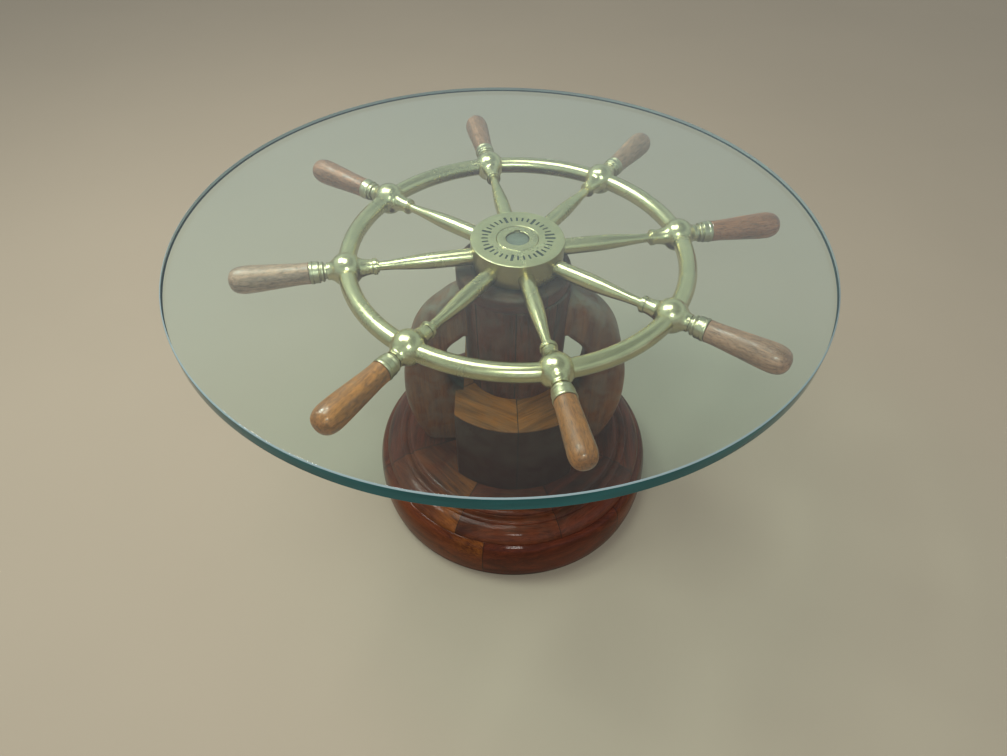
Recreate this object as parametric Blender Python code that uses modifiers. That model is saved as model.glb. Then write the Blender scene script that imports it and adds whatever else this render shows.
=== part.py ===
"""Ship wheel coffee table: a glass disc on a brass wheel that turns on a wooden pedestal.

Metres, +Z up. The pedestal axis is the Z axis and the floor is Z = 0.
"""
import math

import bmesh
import bpy
from mathutils import Matrix, Vector

# Gap kept between pieces that touch
CLEARANCE = 0.0003

# Glass disc
GLASS_RADIUS = 0.457
GLASS_THICKNESS = 0.020
GLASS_ARRIS = 0.0015
GLASS_SHIFT_X = -0.0235
GLASS_SHIFT_Y = 0.0123

# Wheel
SPOKE_COUNT = 8
SPOKE_START_DEG = 9.6
RIM_RADIUS = 0.2415
RIM_TUBE_RADIUS = 0.0127
BALL_RADIUS = 0.0235
BALL_IN_LENGTH = 0.0360
BALL_IN_RADIUS = 0.0104
BALL_OUT_LENGTH = 0.0270
BALL_OUT_RADIUS = 0.0122
HUB_RADIUS = 0.0670
HUB_BELOW_RIM = 0.0157
HUB_FACE_DROP = 0.0004
HUB_EDGE_ROUND = 0.0018
SOCKET_DEPTH = 0.0120
SPOKE_ROOT_RADIUS = 0.0118
SPOKE_TIP_RADIUS = 0.0063
SPOKE_COLLAR_RADIUS = 0.0116
SPOKE_COLLAR_LENGTH = 0.0060
SPIGOT_RADIUS = 0.0050
SPIGOT_LENGTH = 0.0100

# Handles
FERRULE_NECK_RADIUS = 0.0105
FERRULE_RADIUS = 0.0156
FERRULE_LENGTH = 0.0225
GRIP_LENGTH = 0.1090
GRIP_ROOT_RADIUS = 0.0149
GRIP_MAX_RADIUS = 0.0190
SMALL_GRIP = 7
SMALL_GRIP_LENGTH = 0.0950
SMALL_GRIP_RADIUS = 0.0172
TANG_RADIUS = 0.0040
TANG_IN_BALL = 0.0150
TANG_IN_GRIP = 0.0550

# Spindle and its bearing
SLEEVE_RADIUS = 0.0300
SLEEVE_ARRIS = 0.0012
SPINDLE_RADIUS = 0.0165
SPINDLE_RECESS = 0.0020
SPINDLE_DEPTH = 0.0600
KEY_WIDTH = 0.0080
KEY_HEIGHT = 0.0070
KEY_LENGTH = 0.0300
WASHER_RADIUS = 0.0360
WASHER_THICKNESS = 0.0024
BUSH_RADIUS = 0.0230
BUSH_LENGTH = 0.0450
FLANGE_RADIUS = 0.0380
FLANGE_THICKNESS = 0.0027

# Pedestal
FOOT_RADIUS = 0.2450
FOOT_FLOOR_INSET = 0.0040
FOOT_TOP_INSET = 0.0140
FOOT_HEIGHT = 0.0780
MOULDING_RADIUS = 0.2300
MOULDING_TOP_RADIUS = 0.1830
MOULDING_HEIGHT = 0.0277
DRUM_RADIUS = 0.1450
DRUM_FLAT = 0.0970
DRUM_REBATE = 0.0835
DRUM_REBATE_FRONT = 0.0560
DRUM_HEIGHT = 0.1514
DRUM_ARRIS = 0.0020
COLUMN_RADIUS = 0.0830
COLUMN_FOOT_RADIUS = 0.0775
COLUMN_HEIGHT = 0.1820
COLUMN_ARRIS = 0.0020
CAP_RADIUS = 0.0850
CAP_SHIFT_X = -0.0050
CAP_HEIGHT = 0.0242
CAP_ROUND = 0.0050
ARM_REACH = 0.1010
ARM_THICKNESS = 0.0640
ARM_ROUND = 0.0160
ARM_TOP_DROP = 0.0190
EYE_REACH = 0.0290
EYE_HEIGHT = 0.1230
EYE_FOOT_UP = 0.1137

# Bolt that holds foot, moulding, drum and column together
BOLT_RADIUS = 0.0080
BOLT_HEAD_RADIUS = 0.0200
BOLT_HEAD_HEIGHT = 0.0120
BOLT_IN_COLUMN = 0.0500

# Heights built from the floor up
MOULDING_Z = FOOT_HEIGHT + CLEARANCE
DRUM_Z = MOULDING_Z + MOULDING_HEIGHT + CLEARANCE
DRUM_TOP_Z = DRUM_Z + DRUM_HEIGHT
COLUMN_Z = DRUM_TOP_Z + CLEARANCE
COLUMN_TOP_Z = COLUMN_Z + COLUMN_HEIGHT
CAP_Z = COLUMN_TOP_Z + CLEARANCE
FLANGE_Z = CAP_Z + CAP_HEIGHT + CLEARANCE
WASHER_Z = FLANGE_Z + FLANGE_THICKNESS + CLEARANCE
HUB_Z = WASHER_Z + WASHER_THICKNESS + CLEARANCE
RIM_Z = HUB_Z + HUB_BELOW_RIM
BALL_TOP_Z = RIM_Z + BALL_RADIUS
HUB_TOP_Z = BALL_TOP_Z - HUB_FACE_DROP
SPINDLE_TOP_Z = HUB_TOP_Z - SPINDLE_RECESS
SPINDLE_FOOT_Z = COLUMN_TOP_Z - SPINDLE_DEPTH
GLASS_Z = BALL_TOP_Z + CLEARANCE

# Distances out from the wheel axis, measured along a spoke
BALL_IN_END = RIM_RADIUS - BALL_IN_LENGTH
BALL_OUT_END = RIM_RADIUS + BALL_OUT_LENGTH
BALL_SIDE_FLAT = math.sqrt(BALL_RADIUS**2 - RIM_TUBE_RADIUS**2)
BALL_SIDE_ANGLE = math.asin(BALL_SIDE_FLAT / RIM_RADIUS)
SPOKE_START = HUB_RADIUS - SOCKET_DEPTH + CLEARANCE
SPOKE_END = BALL_IN_END - CLEARANCE
FERRULE_START = BALL_OUT_END + CLEARANCE
GRIP_START = FERRULE_START + FERRULE_LENGTH + CLEARANCE
TANG_START = BALL_OUT_END - TANG_IN_BALL
TANG_END = GRIP_START + TANG_IN_GRIP

SPOKE_ANGLES = [
    math.radians(SPOKE_START_DEG + index * 360.0 / SPOKE_COUNT)
    for index in range(SPOKE_COUNT)
]


def clear_scene():
    """Remove everything that a new file starts with."""
    for obj in list(bpy.data.objects):
        bpy.data.objects.remove(obj, do_unlink=True)
    for collection in list(bpy.data.collections):
        bpy.data.collections.remove(collection)


def make_collection(name):
    """Add a collection to the scene."""
    collection = bpy.data.collections.new(name)
    bpy.context.scene.collection.children.link(collection)
    return collection


def make_material(name, colour, roughness, metallic, alpha=1.0):
    """Plain surface with one colour, roughness and metallic value."""
    material = bpy.data.materials.new(name)
    material.use_nodes = True
    shader = material.node_tree.nodes["Principled BSDF"]
    shader.inputs["Base Color"].default_value = (*colour, 1.0)
    shader.inputs["Roughness"].default_value = roughness
    shader.inputs["Metallic"].default_value = metallic
    shader.inputs["Alpha"].default_value = alpha
    material.diffuse_color = (*colour, alpha)
    return material


def add_object(name, data, material, collection, parent=None):
    """Place a piece in a collection, with its material and its parent."""
    obj = bpy.data.objects.new(name, data)
    collection.objects.link(obj)
    if material is not None and not data.materials:
        data.materials.append(material)
    obj.parent = parent
    return obj


def add_empty(name, height):
    """Empty on the pedestal axis, used as the parent of pieces that move."""
    empty = bpy.data.objects.new(name, None)
    empty.location = (0.0, 0.0, height)
    PARTS.objects.link(empty)
    return empty


def profile_mesh(name, profile, closed):
    """Half outline (radius, height) of a turned piece, drawn beside the Z axis."""
    count = len(profile)
    edges = [(index, index + 1) for index in range(count - 1)]
    if closed:
        edges.append((count - 1, 0))
    mesh = bpy.data.meshes.new(name)
    mesh.from_pydata([(radius, 0.0, height) for radius, height in profile], edges, [])
    return mesh


def turn(obj, steps):
    """Revolve an outline around the Z axis of its object."""
    screw = obj.modifiers.new("turn", "SCREW")
    screw.axis = "Z"
    screw.angle = 2.0 * math.pi
    screw.steps = steps
    screw.render_steps = steps
    screw.use_merge_vertices = True
    screw.merge_threshold = 0.00005
    screw.use_smooth_shade = True


def turned(name, profile, steps, material, parent=None, closed=False):
    """One turned piece."""
    obj = add_object(name, profile_mesh(name, profile, closed), material, PARTS, parent)
    turn(obj, steps)
    return obj


def baked(obj):
    """Mesh of an object with its modifiers and its place in it; the object is removed."""
    bpy.context.view_layer.update()
    evaluated = obj.evaluated_get(bpy.context.evaluated_depsgraph_get())
    mesh = bpy.data.meshes.new_from_object(evaluated)
    mesh.transform(obj.matrix_world)
    shape = bmesh.new()
    shape.from_mesh(mesh)
    bmesh.ops.remove_doubles(shape, verts=shape.verts, dist=0.00002)
    bmesh.ops.recalc_face_normals(shape, faces=shape.faces)
    shape.to_mesh(mesh)
    shape.free()
    bpy.data.objects.remove(obj, do_unlink=True)
    return mesh


def turned_group(name, profile, steps, places):
    """Mesh of several equal turned solids at the given matrices."""
    single = baked(turned(name + "_single", profile, steps, None))
    group = bmesh.new()
    for place in places:
        start = len(group.verts)
        group.from_mesh(single)
        group.verts.ensure_lookup_table()
        bmesh.ops.transform(group, matrix=place, verts=group.verts[start:])
    mesh = bpy.data.meshes.new(name)
    group.to_mesh(mesh)
    group.free()
    bpy.data.meshes.remove(single)
    return mesh


def add_cutter(name, data):
    """Shape that is only used to cut others."""
    obj = add_object(name, data, None, CUTTERS)
    obj.hide_render = True
    obj.display_type = "WIRE"
    return obj


def cut(obj, cutter, operation="DIFFERENCE"):
    """Cut a piece with another shape."""
    boolean = obj.modifiers.new("cut_" + cutter.name, "BOOLEAN")
    boolean.operation = operation
    boolean.solver = "EXACT"
    boolean.object = cutter


def box_mesh(name, low, high):
    """Box between two corners."""
    shape = bmesh.new()
    size = [top - bottom for bottom, top in zip(low, high)]
    middle = [(top + bottom) / 2.0 for bottom, top in zip(low, high)]
    place = Matrix.Translation(middle) @ Matrix.Diagonal((*size, 1.0))
    bmesh.ops.create_cube(shape, size=1.0, matrix=place)
    mesh = bpy.data.meshes.new(name)
    shape.to_mesh(mesh)
    shape.free()
    return mesh


def smooth(mesh):
    """Smooth shading that keeps the sharp edges."""
    mesh.shade_smooth()
    mesh.set_sharp_from_angle(angle=math.radians(35.0))


def along_spoke(angle):
    """Matrix that lays the Z axis of a turned piece along a spoke direction."""
    return Matrix.Rotation(angle, 4, "Z") @ Matrix.Rotation(math.pi / 2.0, 4, "Y")


def lay_along_spoke(obj, angle):
    """Turn a piece so that its Z axis points out along a spoke."""
    obj.rotation_euler = (0.0, math.pi / 2.0, angle)


def spoke_profile():
    """Outline of one spoke, from its spigot in the ball back to its root in the hub."""
    collar_start = SPOKE_END - SPOKE_COLLAR_LENGTH
    step_start = collar_start - 0.4 * SPOKE_COLLAR_LENGTH
    step_radius = (SPOKE_TIP_RADIUS + SPOKE_COLLAR_RADIUS) / 2.0
    length = step_start - HUB_RADIUS
    taper = [(0.85, 0.15), (0.68, 0.53), (0.46, 0.91), (0.2, 0.98)]
    profile = [
        (0.0, SPOKE_END + SPIGOT_LENGTH),
        (SPIGOT_RADIUS, SPOKE_END + SPIGOT_LENGTH),
        (SPIGOT_RADIUS, SPOKE_END),
        (SPOKE_COLLAR_RADIUS, SPOKE_END),
        (SPOKE_COLLAR_RADIUS, collar_start),
        (step_radius, collar_start),
        (step_radius, step_start),
        (SPOKE_TIP_RADIUS, step_start),
    ]
    for place, share in taper:
        radius = SPOKE_TIP_RADIUS + share * (SPOKE_ROOT_RADIUS - SPOKE_TIP_RADIUS)
        profile.append((radius, HUB_RADIUS + place * length))
    profile.append((SPOKE_ROOT_RADIUS, HUB_RADIUS))
    profile.append((SPOKE_ROOT_RADIUS, SPOKE_START))
    profile.append((0.0, SPOKE_START))
    return profile


def ferrule_profile():
    """Outline of one ferrule with its beads and the tang that runs into grip and ball."""
    beads = [
        (0.97, 1.0),
        (1.0, 0.95),
        (1.0, 0.83),
        (0.95, 0.78),
        (0.96, 0.44),
        (0.80, 0.40),
        (0.80, 0.34),
        (0.90, 0.28),
        (0.88, 0.16),
    ]
    end = FERRULE_START + FERRULE_LENGTH
    profile = [(0.0, TANG_END), (TANG_RADIUS, TANG_END), (TANG_RADIUS, end)]
    for share, place in beads:
        profile.append((share * FERRULE_RADIUS, FERRULE_START + place * FERRULE_LENGTH))
    profile.append((FERRULE_NECK_RADIUS, FERRULE_START + 0.12 * FERRULE_LENGTH))
    profile.append((FERRULE_NECK_RADIUS, FERRULE_START))
    profile.append((TANG_RADIUS, FERRULE_START))
    profile.append((TANG_RADIUS, TANG_START))
    profile.append((0.0, TANG_START))
    return profile


def grip_profile(length, radius_max):
    """Outline of one wooden grip, from its round end back to the ferrule."""
    shape = [(0.993, 0.34), (0.965, 0.66), (0.92, 0.86), (0.86, 0.965), (0.79, 1.0), (0.66, 0.98)]
    waist = [(0.4, 0.45), (0.12, 0.0)]
    hole = TANG_RADIUS + CLEARANCE
    profile = [(0.0, GRIP_START + length)]
    for place, share in shape:
        profile.append((share * radius_max, GRIP_START + place * length))
    for place, share in waist:
        radius = GRIP_ROOT_RADIUS + share * (radius_max - GRIP_ROOT_RADIUS)
        profile.append((radius, GRIP_START + place * length))
    profile.append((GRIP_ROOT_RADIUS, GRIP_START))
    profile.append((hole, GRIP_START))
    profile.append((hole, TANG_END + CLEARANCE))
    profile.append((0.0, TANG_END + CLEARANCE))
    return profile


def ball_profile():
    """Outline of one ball with its two tapered necks and the holes for tang and spigot."""
    tang_hole = TANG_RADIUS + CLEARANCE
    tang_foot = TANG_START - CLEARANCE
    spigot_hole = SPIGOT_RADIUS + CLEARANCE
    spigot_end = SPOKE_END + SPIGOT_LENGTH + CLEARANCE
    profile = [
        (0.0, tang_foot),
        (tang_hole, tang_foot),
        (tang_hole, BALL_OUT_END),
        (BALL_OUT_RADIUS, BALL_OUT_END),
    ]
    for degrees in (50.0, 34.0, 18.0, 0.0, -18.0, -36.0):
        turn_angle = math.radians(degrees)
        radius = BALL_RADIUS * math.cos(turn_angle)
        profile.append((radius, RIM_RADIUS + BALL_RADIUS * math.sin(turn_angle)))
    middle = RIM_RADIUS - 0.62 * BALL_IN_LENGTH
    profile.append((1.2 * BALL_IN_RADIUS, middle))
    profile.append((BALL_IN_RADIUS, BALL_IN_END))
    profile.append((spigot_hole, BALL_IN_END))
    profile.append((spigot_hole, spigot_end))
    profile.append((0.0, spigot_end))
    return profile


def ball_mesh():
    """Ball socket on the +X side, with a flat for the rim tube on either side."""
    outline = ball_profile()
    ball = turned("rim_ball_blank", outline, 16, BRASS)
    lay_along_spoke(ball, 0.0)
    near = RIM_RADIUS - 2.0 * BALL_IN_LENGTH
    far = RIM_RADIUS + 2.0 * BALL_OUT_LENGTH
    wedge = bmesh.new()
    corners = []
    for height in (-2.0 * BALL_RADIUS, 2.0 * BALL_RADIUS):
        for radius, side in ((near, -1.0), (far, -1.0), (far, 1.0), (near, 1.0)):
            corners.append(wedge.verts.new((radius, side * radius * math.tan(BALL_SIDE_ANGLE), height)))
    bmesh.ops.convex_hull(wedge, input=corners)
    wedge_data = bpy.data.meshes.new("ball_wedge")
    wedge.to_mesh(wedge_data)
    wedge.free()
    cutter = add_cutter("ball_wedge", wedge_data)
    cut(ball, cutter, "INTERSECT")
    result = baked(ball)
    bpy.data.objects.remove(cutter, do_unlink=True)
    smooth(result)
    return result


def build_wheel():
    """Hub, spokes, rim and handles; all of them turn together on the spindle."""
    axis = add_empty("wheel_axis", RIM_Z)
    low = HUB_Z - RIM_Z
    high = HUB_TOP_Z - RIM_Z
    edge = HUB_EDGE_ROUND
    bore = SLEEVE_RADIUS + CLEARANCE
    hub = turned(
        "wheel_hub",
        [
            (bore, high),
            (HUB_RADIUS - edge, high),
            (HUB_RADIUS - 0.3 * edge, high - 0.3 * edge),
            (HUB_RADIUS, high - edge),
            (HUB_RADIUS, low + 0.4 * edge),
            (HUB_RADIUS - 0.4 * edge, low),
            (bore, low),
        ],
        32,
        BRASS,
        axis,
        closed=True,
    )
    socket = SPOKE_ROOT_RADIUS + CLEARANCE
    start = HUB_RADIUS - SOCKET_DEPTH
    outline = [(0.0, HUB_RADIUS + 0.02), (socket, HUB_RADIUS + 0.02), (socket, start), (0.0, start)]
    places = [along_spoke(angle) for angle in SPOKE_ANGLES]
    sockets = add_cutter("spoke_sockets", turned_group("spoke_sockets", outline, 10, places))
    sockets.parent = axis
    cut(hub, sockets)

    spoke_data = profile_mesh("spoke", spoke_profile(), False)
    ferrule_data = profile_mesh("handle_ferrule", ferrule_profile(), False)
    grip_data = profile_mesh("handle_grip", grip_profile(GRIP_LENGTH, GRIP_MAX_RADIUS), False)
    small_grip = grip_profile(SMALL_GRIP_LENGTH, SMALL_GRIP_RADIUS)
    small_grip_data = profile_mesh("small_grip", small_grip, False)
    ball_data = ball_mesh()
    arc_data = rim_arc_curve()
    for index, angle in enumerate(SPOKE_ANGLES, start=1):
        turned_kinds = (
            ("spoke", spoke_data, BRASS, 10),
            ("handle_ferrule", ferrule_data, BRASS, 12),
            ("handle_grip", small_grip_data if index == SMALL_GRIP else grip_data, GRIP_WOOD, 14),
        )
        for kind, data, material, steps in turned_kinds:
            piece = add_object(f"{kind}_{index}", data, material, PARTS, axis)
            turn(piece, steps)
            lay_along_spoke(piece, angle)
        for kind, data in (("rim_ball", ball_data), ("rim_arc", arc_data)):
            piece = add_object(f"{kind}_{index}", data, BRASS, PARTS, axis)
            piece.rotation_euler = (0.0, 0.0, angle)
    return axis


def rim_arc_curve():
    """Rim tube from one ball to the next, starting at the +X ball."""
    share = 2.0 * math.pi / SPOKE_COUNT
    margin = BALL_SIDE_ANGLE + CLEARANCE / RIM_RADIUS
    sweep = share - 2.0 * margin
    handle = 4.0 / 3.0 * math.tan(sweep / 4.0) * RIM_RADIUS
    curve = bpy.data.curves.new("rim_arc", "CURVE")
    curve.dimensions = "3D"
    curve.bevel_depth = RIM_TUBE_RADIUS
    curve.bevel_resolution = 2
    curve.resolution_u = 7
    curve.use_fill_caps = True
    line = curve.splines.new("BEZIER")
    line.bezier_points.add(1)
    for point, angle in zip(line.bezier_points, (margin, share - margin)):
        middle = Vector((RIM_RADIUS * math.cos(angle), RIM_RADIUS * math.sin(angle), 0.0))
        forward = Vector((-math.sin(angle), math.cos(angle), 0.0)) * handle
        point.handle_left_type = "FREE"
        point.handle_right_type = "FREE"
        point.co = middle
        point.handle_left = middle - forward
        point.handle_right = middle + forward
    return curve


def build_spindle(axis):
    """Sleeve, spindle and key, fixed in the hub."""
    low = HUB_Z - RIM_Z
    high = HUB_TOP_Z - RIM_Z
    bore = SPINDLE_RADIUS + CLEARANCE
    sleeve = turned(
        "hub_sleeve",
        [
            (bore, high),
            (SLEEVE_RADIUS - SLEEVE_ARRIS, high),
            (SLEEVE_RADIUS, high - SLEEVE_ARRIS),
            (SLEEVE_RADIUS, low),
            (bore, low),
        ],
        32,
        BRASS,
        axis,
        closed=True,
    )
    spindle_top = SPINDLE_TOP_Z - RIM_Z
    spindle_foot = SPINDLE_FOOT_Z - RIM_Z
    arris = 0.06 * SPINDLE_RADIUS
    spindle = turned(
        "wheel_spindle",
        [
            (0.0, spindle_top),
            (SPINDLE_RADIUS - arris, spindle_top),
            (SPINDLE_RADIUS, spindle_top - arris),
            (SPINDLE_RADIUS, spindle_foot),
            (0.0, spindle_foot),
        ],
        32,
        STEEL,
        axis,
    )
    near = SPINDLE_RADIUS - KEY_HEIGHT / 2.0
    far = SPINDLE_RADIUS + KEY_HEIGHT / 2.0
    half = KEY_WIDTH / 2.0
    key_top = spindle_top - CLEARANCE
    key_foot = key_top - KEY_LENGTH
    key_data = box_mesh("spindle_key", (-half, near, key_foot), (half, far, key_top))
    add_object("spindle_key", key_data, STEEL, PARTS, axis)
    gap = CLEARANCE
    slot_low = (-half - gap, near - gap, key_foot - gap)
    slot_high = (half + gap, far + gap, high + SLEEVE_RADIUS)
    keyway = add_cutter("keyway", box_mesh("keyway", slot_low, slot_high))
    keyway.parent = axis
    cut(sleeve, keyway)
    cut(spindle, keyway)


def build_bearing():
    """Thrust washer and flanged bush that carry the wheel on the cap."""
    bore = SPINDLE_RADIUS + CLEARANCE
    washer_top = WASHER_Z + WASHER_THICKNESS
    turned(
        "thrust_washer",
        [(bore, washer_top), (WASHER_RADIUS, washer_top), (WASHER_RADIUS, WASHER_Z), (bore, WASHER_Z)],
        32,
        STEEL,
        closed=True,
    )
    flange_top = FLANGE_Z + FLANGE_THICKNESS
    foot = FLANGE_Z - BUSH_LENGTH
    turned(
        "spindle_bush",
        [
            (bore, flange_top),
            (FLANGE_RADIUS, flange_top),
            (FLANGE_RADIUS, FLANGE_Z),
            (BUSH_RADIUS, FLANGE_Z),
            (BUSH_RADIUS, foot),
            (bore, foot),
        ],
        32,
        BRONZE,
        closed=True,
    )


def build_base():
    """Foot, moulding, drum, column, cap and the bolt that holds the lower ones together."""
    hole = BOLT_RADIUS + CLEARANCE
    bore = BOLT_HEAD_RADIUS + CLEARANCE
    tip = COLUMN_Z + BOLT_IN_COLUMN
    bore_top = BOLT_HEAD_HEIGHT + CLEARANCE
    turned(
        "base_bolt",
        [
            (0.0, tip),
            (BOLT_RADIUS, tip),
            (BOLT_RADIUS, BOLT_HEAD_HEIGHT),
            (BOLT_HEAD_RADIUS, BOLT_HEAD_HEIGHT),
            (BOLT_HEAD_RADIUS, 0.0),
            (0.0, 0.0),
        ],
        24,
        STEEL,
    )

    bulge = [
        (1.0, 1.0),
        (0.5, 0.87),
        (0.16, 0.71),
        (0.02, 0.54),
        (0.0, 0.41),
        (0.09, 0.20),
        (0.27, 0.06),
    ]
    foot_profile = [(hole, FOOT_HEIGHT)]
    for inset, height in bulge:
        foot_profile.append((FOOT_RADIUS - inset * FOOT_TOP_INSET, height * FOOT_HEIGHT))
    foot_profile.append((FOOT_RADIUS - FOOT_FLOOR_INSET, 0.0))
    foot_profile.append((bore, 0.0))
    foot_profile.append((bore, bore_top))
    foot_profile.append((hole, bore_top))
    turned("pedestal_foot", foot_profile, 44, BASE_WOOD, closed=True)

    steps = [
        (0.0, 1.0),
        (0.06, 0.98),
        (0.11, 0.89),
        (0.13, 0.80),
        (0.21, 0.80),
        (0.26, 0.86),
        (0.34, 0.89),
        (0.43, 0.86),
        (0.47, 0.78),
        (0.47, 0.71),
        (0.57, 0.69),
        (0.77, 0.58),
        (0.93, 0.35),
        (1.0, 0.08),
        (1.0, 0.0),
    ]
    moulding_profile = [(hole, MOULDING_Z + MOULDING_HEIGHT)]
    for out, height in steps:
        radius = MOULDING_TOP_RADIUS + out * (MOULDING_RADIUS - MOULDING_TOP_RADIUS)
        moulding_profile.append((radius, MOULDING_Z + height * MOULDING_HEIGHT))
    moulding_profile.append((hole, MOULDING_Z))
    turned("base_moulding", moulding_profile, 44, BASE_WOOD, closed=True)

    drum = turned(
        "pedestal_drum",
        [
            (hole, DRUM_TOP_Z),
            (DRUM_RADIUS - DRUM_ARRIS, DRUM_TOP_Z),
            (DRUM_RADIUS, DRUM_TOP_Z - DRUM_ARRIS),
            (DRUM_RADIUS, DRUM_Z),
            (hole, DRUM_Z),
        ],
        44,
        BASE_WOOD,
        closed=True,
    )
    reach = 2.0 * DRUM_RADIUS
    between = box_mesh("drum_flats", (-DRUM_FLAT, -reach, 0.0), (DRUM_FLAT, reach, DRUM_TOP_Z + reach))
    cut(drum, add_cutter("drum_flats", between), "INTERSECT")
    for side, name in ((-1.0, "left_rebate"), (1.0, "right_rebate")):
        edges = sorted((side * DRUM_REBATE, side * reach))
        low = (edges[0], -DRUM_REBATE_FRONT, 0.0)
        high = (edges[1], reach, DRUM_TOP_Z + reach)
        cut(drum, add_cutter(name, box_mesh(name, low, high)))

    bush_bore = BUSH_RADIUS + CLEARANCE
    spindle_bore = SPINDLE_RADIUS + CLEARANCE
    bush_foot = FLANGE_Z - BUSH_LENGTH - CLEARANCE
    spindle_foot = SPINDLE_FOOT_Z - CLEARANCE
    turned(
        "pedestal_column",
        [
            (0.0, spindle_foot),
            (spindle_bore, spindle_foot),
            (spindle_bore, bush_foot),
            (bush_bore, bush_foot),
            (bush_bore, COLUMN_TOP_Z),
            (COLUMN_RADIUS - COLUMN_ARRIS, COLUMN_TOP_Z),
            (COLUMN_RADIUS, COLUMN_TOP_Z - COLUMN_ARRIS),
            (COLUMN_FOOT_RADIUS, COLUMN_Z),
            (hole, COLUMN_Z),
            (hole, tip + CLEARANCE),
            (0.0, tip + CLEARANCE),
        ],
        36,
        BASE_WOOD,
    )

    cap_top = CAP_Z + CAP_HEIGHT
    cap = turned(
        "column_cap",
        [
            (0.0, cap_top),
            (CAP_RADIUS - CAP_ROUND, cap_top),
            (CAP_RADIUS - 0.3 * CAP_ROUND, cap_top - 0.3 * CAP_ROUND),
            (CAP_RADIUS, cap_top - CAP_ROUND),
            (CAP_RADIUS, CAP_Z + CAP_ROUND),
            (CAP_RADIUS - 0.3 * CAP_ROUND, CAP_Z + 0.3 * CAP_ROUND),
            (CAP_RADIUS - CAP_ROUND, CAP_Z),
            (0.0, CAP_Z),
        ],
        36,
        BASE_WOOD,
    )
    cap.location = (CAP_SHIFT_X, 0.0, 0.0)
    above = cap_top + CAP_HEIGHT
    below = CAP_Z - CAP_HEIGHT
    outline = [(0.0, above), (bush_bore, above), (bush_bore, below), (0.0, below)]
    cap_bore = turned_group("cap_bore", outline, 32, [Matrix.Identity(4)])
    cut(cap, add_cutter("cap_bore", cap_bore))


def arm_outline():
    """Upright outline of one arm as (x, z, handle kind), outer side first, then the eye."""
    inner = COLUMN_RADIUS - 2.5 * ARM_ROUND
    top = COLUMN_TOP_Z - ARM_TOP_DROP
    height = top - DRUM_Z
    sweep = [
        (0.01, 1.0),
        (0.347, 0.930),
        (0.673, 0.818),
        (0.881, 0.649),
        (1.0, 0.410),
        (0.941, 0.184),
        (0.743, 0.0),
        (0.56, -0.10),
    ]
    points = [(inner, top, "VECTOR")]
    for out, up in sweep:
        points.append((COLUMN_RADIUS + out * ARM_REACH, DRUM_Z + up * height, "AUTO"))
    points.append((inner, DRUM_Z - 0.10 * height, "VECTOR"))
    eye = [
        (0.0, 0.0, "AUTO"),
        (0.62, 0.10, "AUTO"),
        (1.0, 0.40, "AUTO"),
        (0.98, 0.62, "AUTO"),
        (0.86, 0.76, "AUTO"),
        (-0.1, 1.0, "VECTOR"),
    ]
    eye_foot = DRUM_Z + EYE_FOOT_UP
    points.append((inner, eye_foot, "VECTOR"))
    for out, up, kind in eye:
        points.append((COLUMN_RADIUS + out * EYE_REACH, eye_foot + up * EYE_HEIGHT, kind))
    points.append((inner, eye_foot + EYE_HEIGHT, "VECTOR"))
    return points


def arm_mesh():
    """Arm on the +X side, cut to stand on the base and against drum and column."""
    curve = bpy.data.curves.new("side_arm", "CURVE")
    curve.dimensions = "2D"
    curve.fill_mode = "BOTH"
    curve.extrude = ARM_THICKNESS / 2.0 - ARM_ROUND
    curve.bevel_depth = ARM_ROUND
    curve.bevel_resolution = 2
    curve.offset = -ARM_ROUND
    curve.resolution_u = 4
    outline = arm_outline()
    line = curve.splines.new("BEZIER")
    line.use_cyclic_u = True
    line.bezier_points.add(len(outline) - 1)
    for point, (x, z, kind) in zip(line.bezier_points, outline):
        point.co = (x, z, 0.0)
        point.handle_left_type = kind
        point.handle_right_type = kind
    blank = add_object("side_arm_curve", curve, None, PARTS)
    blank.rotation_euler = (math.pi / 2.0, 0.0, 0.0)
    mesh = baked(blank)
    bpy.data.curves.remove(curve)
    arm = add_object("side_arm_blank", mesh, BASE_WOOD, PARTS)
    seat = [
        (0.0, COLUMN_TOP_Z + 0.2),
        (COLUMN_RADIUS + CLEARANCE, COLUMN_TOP_Z + 0.2),
        (COLUMN_RADIUS + CLEARANCE, COLUMN_TOP_Z),
        (COLUMN_FOOT_RADIUS + CLEARANCE, COLUMN_Z),
        (COLUMN_FOOT_RADIUS + CLEARANCE, DRUM_Z),
        (FOOT_RADIUS + 0.1, DRUM_Z),
        (FOOT_RADIUS + 0.1, -0.1),
        (0.0, -0.1),
    ]
    column_seat = add_cutter("column_seat", turned_group("column_seat", seat, 36, [Matrix.Identity(4)]))
    flat = DRUM_REBATE + CLEARANCE
    low = (-flat, -ARM_THICKNESS, DRUM_Z - 0.05)
    high = (flat, ARM_THICKNESS, DRUM_TOP_Z + CLEARANCE)
    drum_seat = add_cutter("drum_seat", box_mesh("drum_seat", low, high))
    for cutter in (column_seat, drum_seat):
        cut(arm, cutter)
    result = baked(arm)
    for cutter in (column_seat, drum_seat):
        bpy.data.objects.remove(cutter, do_unlink=True)
    smooth(result)
    return result


def build_arms():
    """Two arms that stand in the rebates of the drum and lean in to the column."""
    arm = arm_mesh()
    add_object("side_arm_right", arm, BASE_WOOD, PARTS)
    left = add_object("side_arm_left", arm, BASE_WOOD, PARTS)
    left.rotation_euler = (0.0, 0.0, math.pi)


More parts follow.
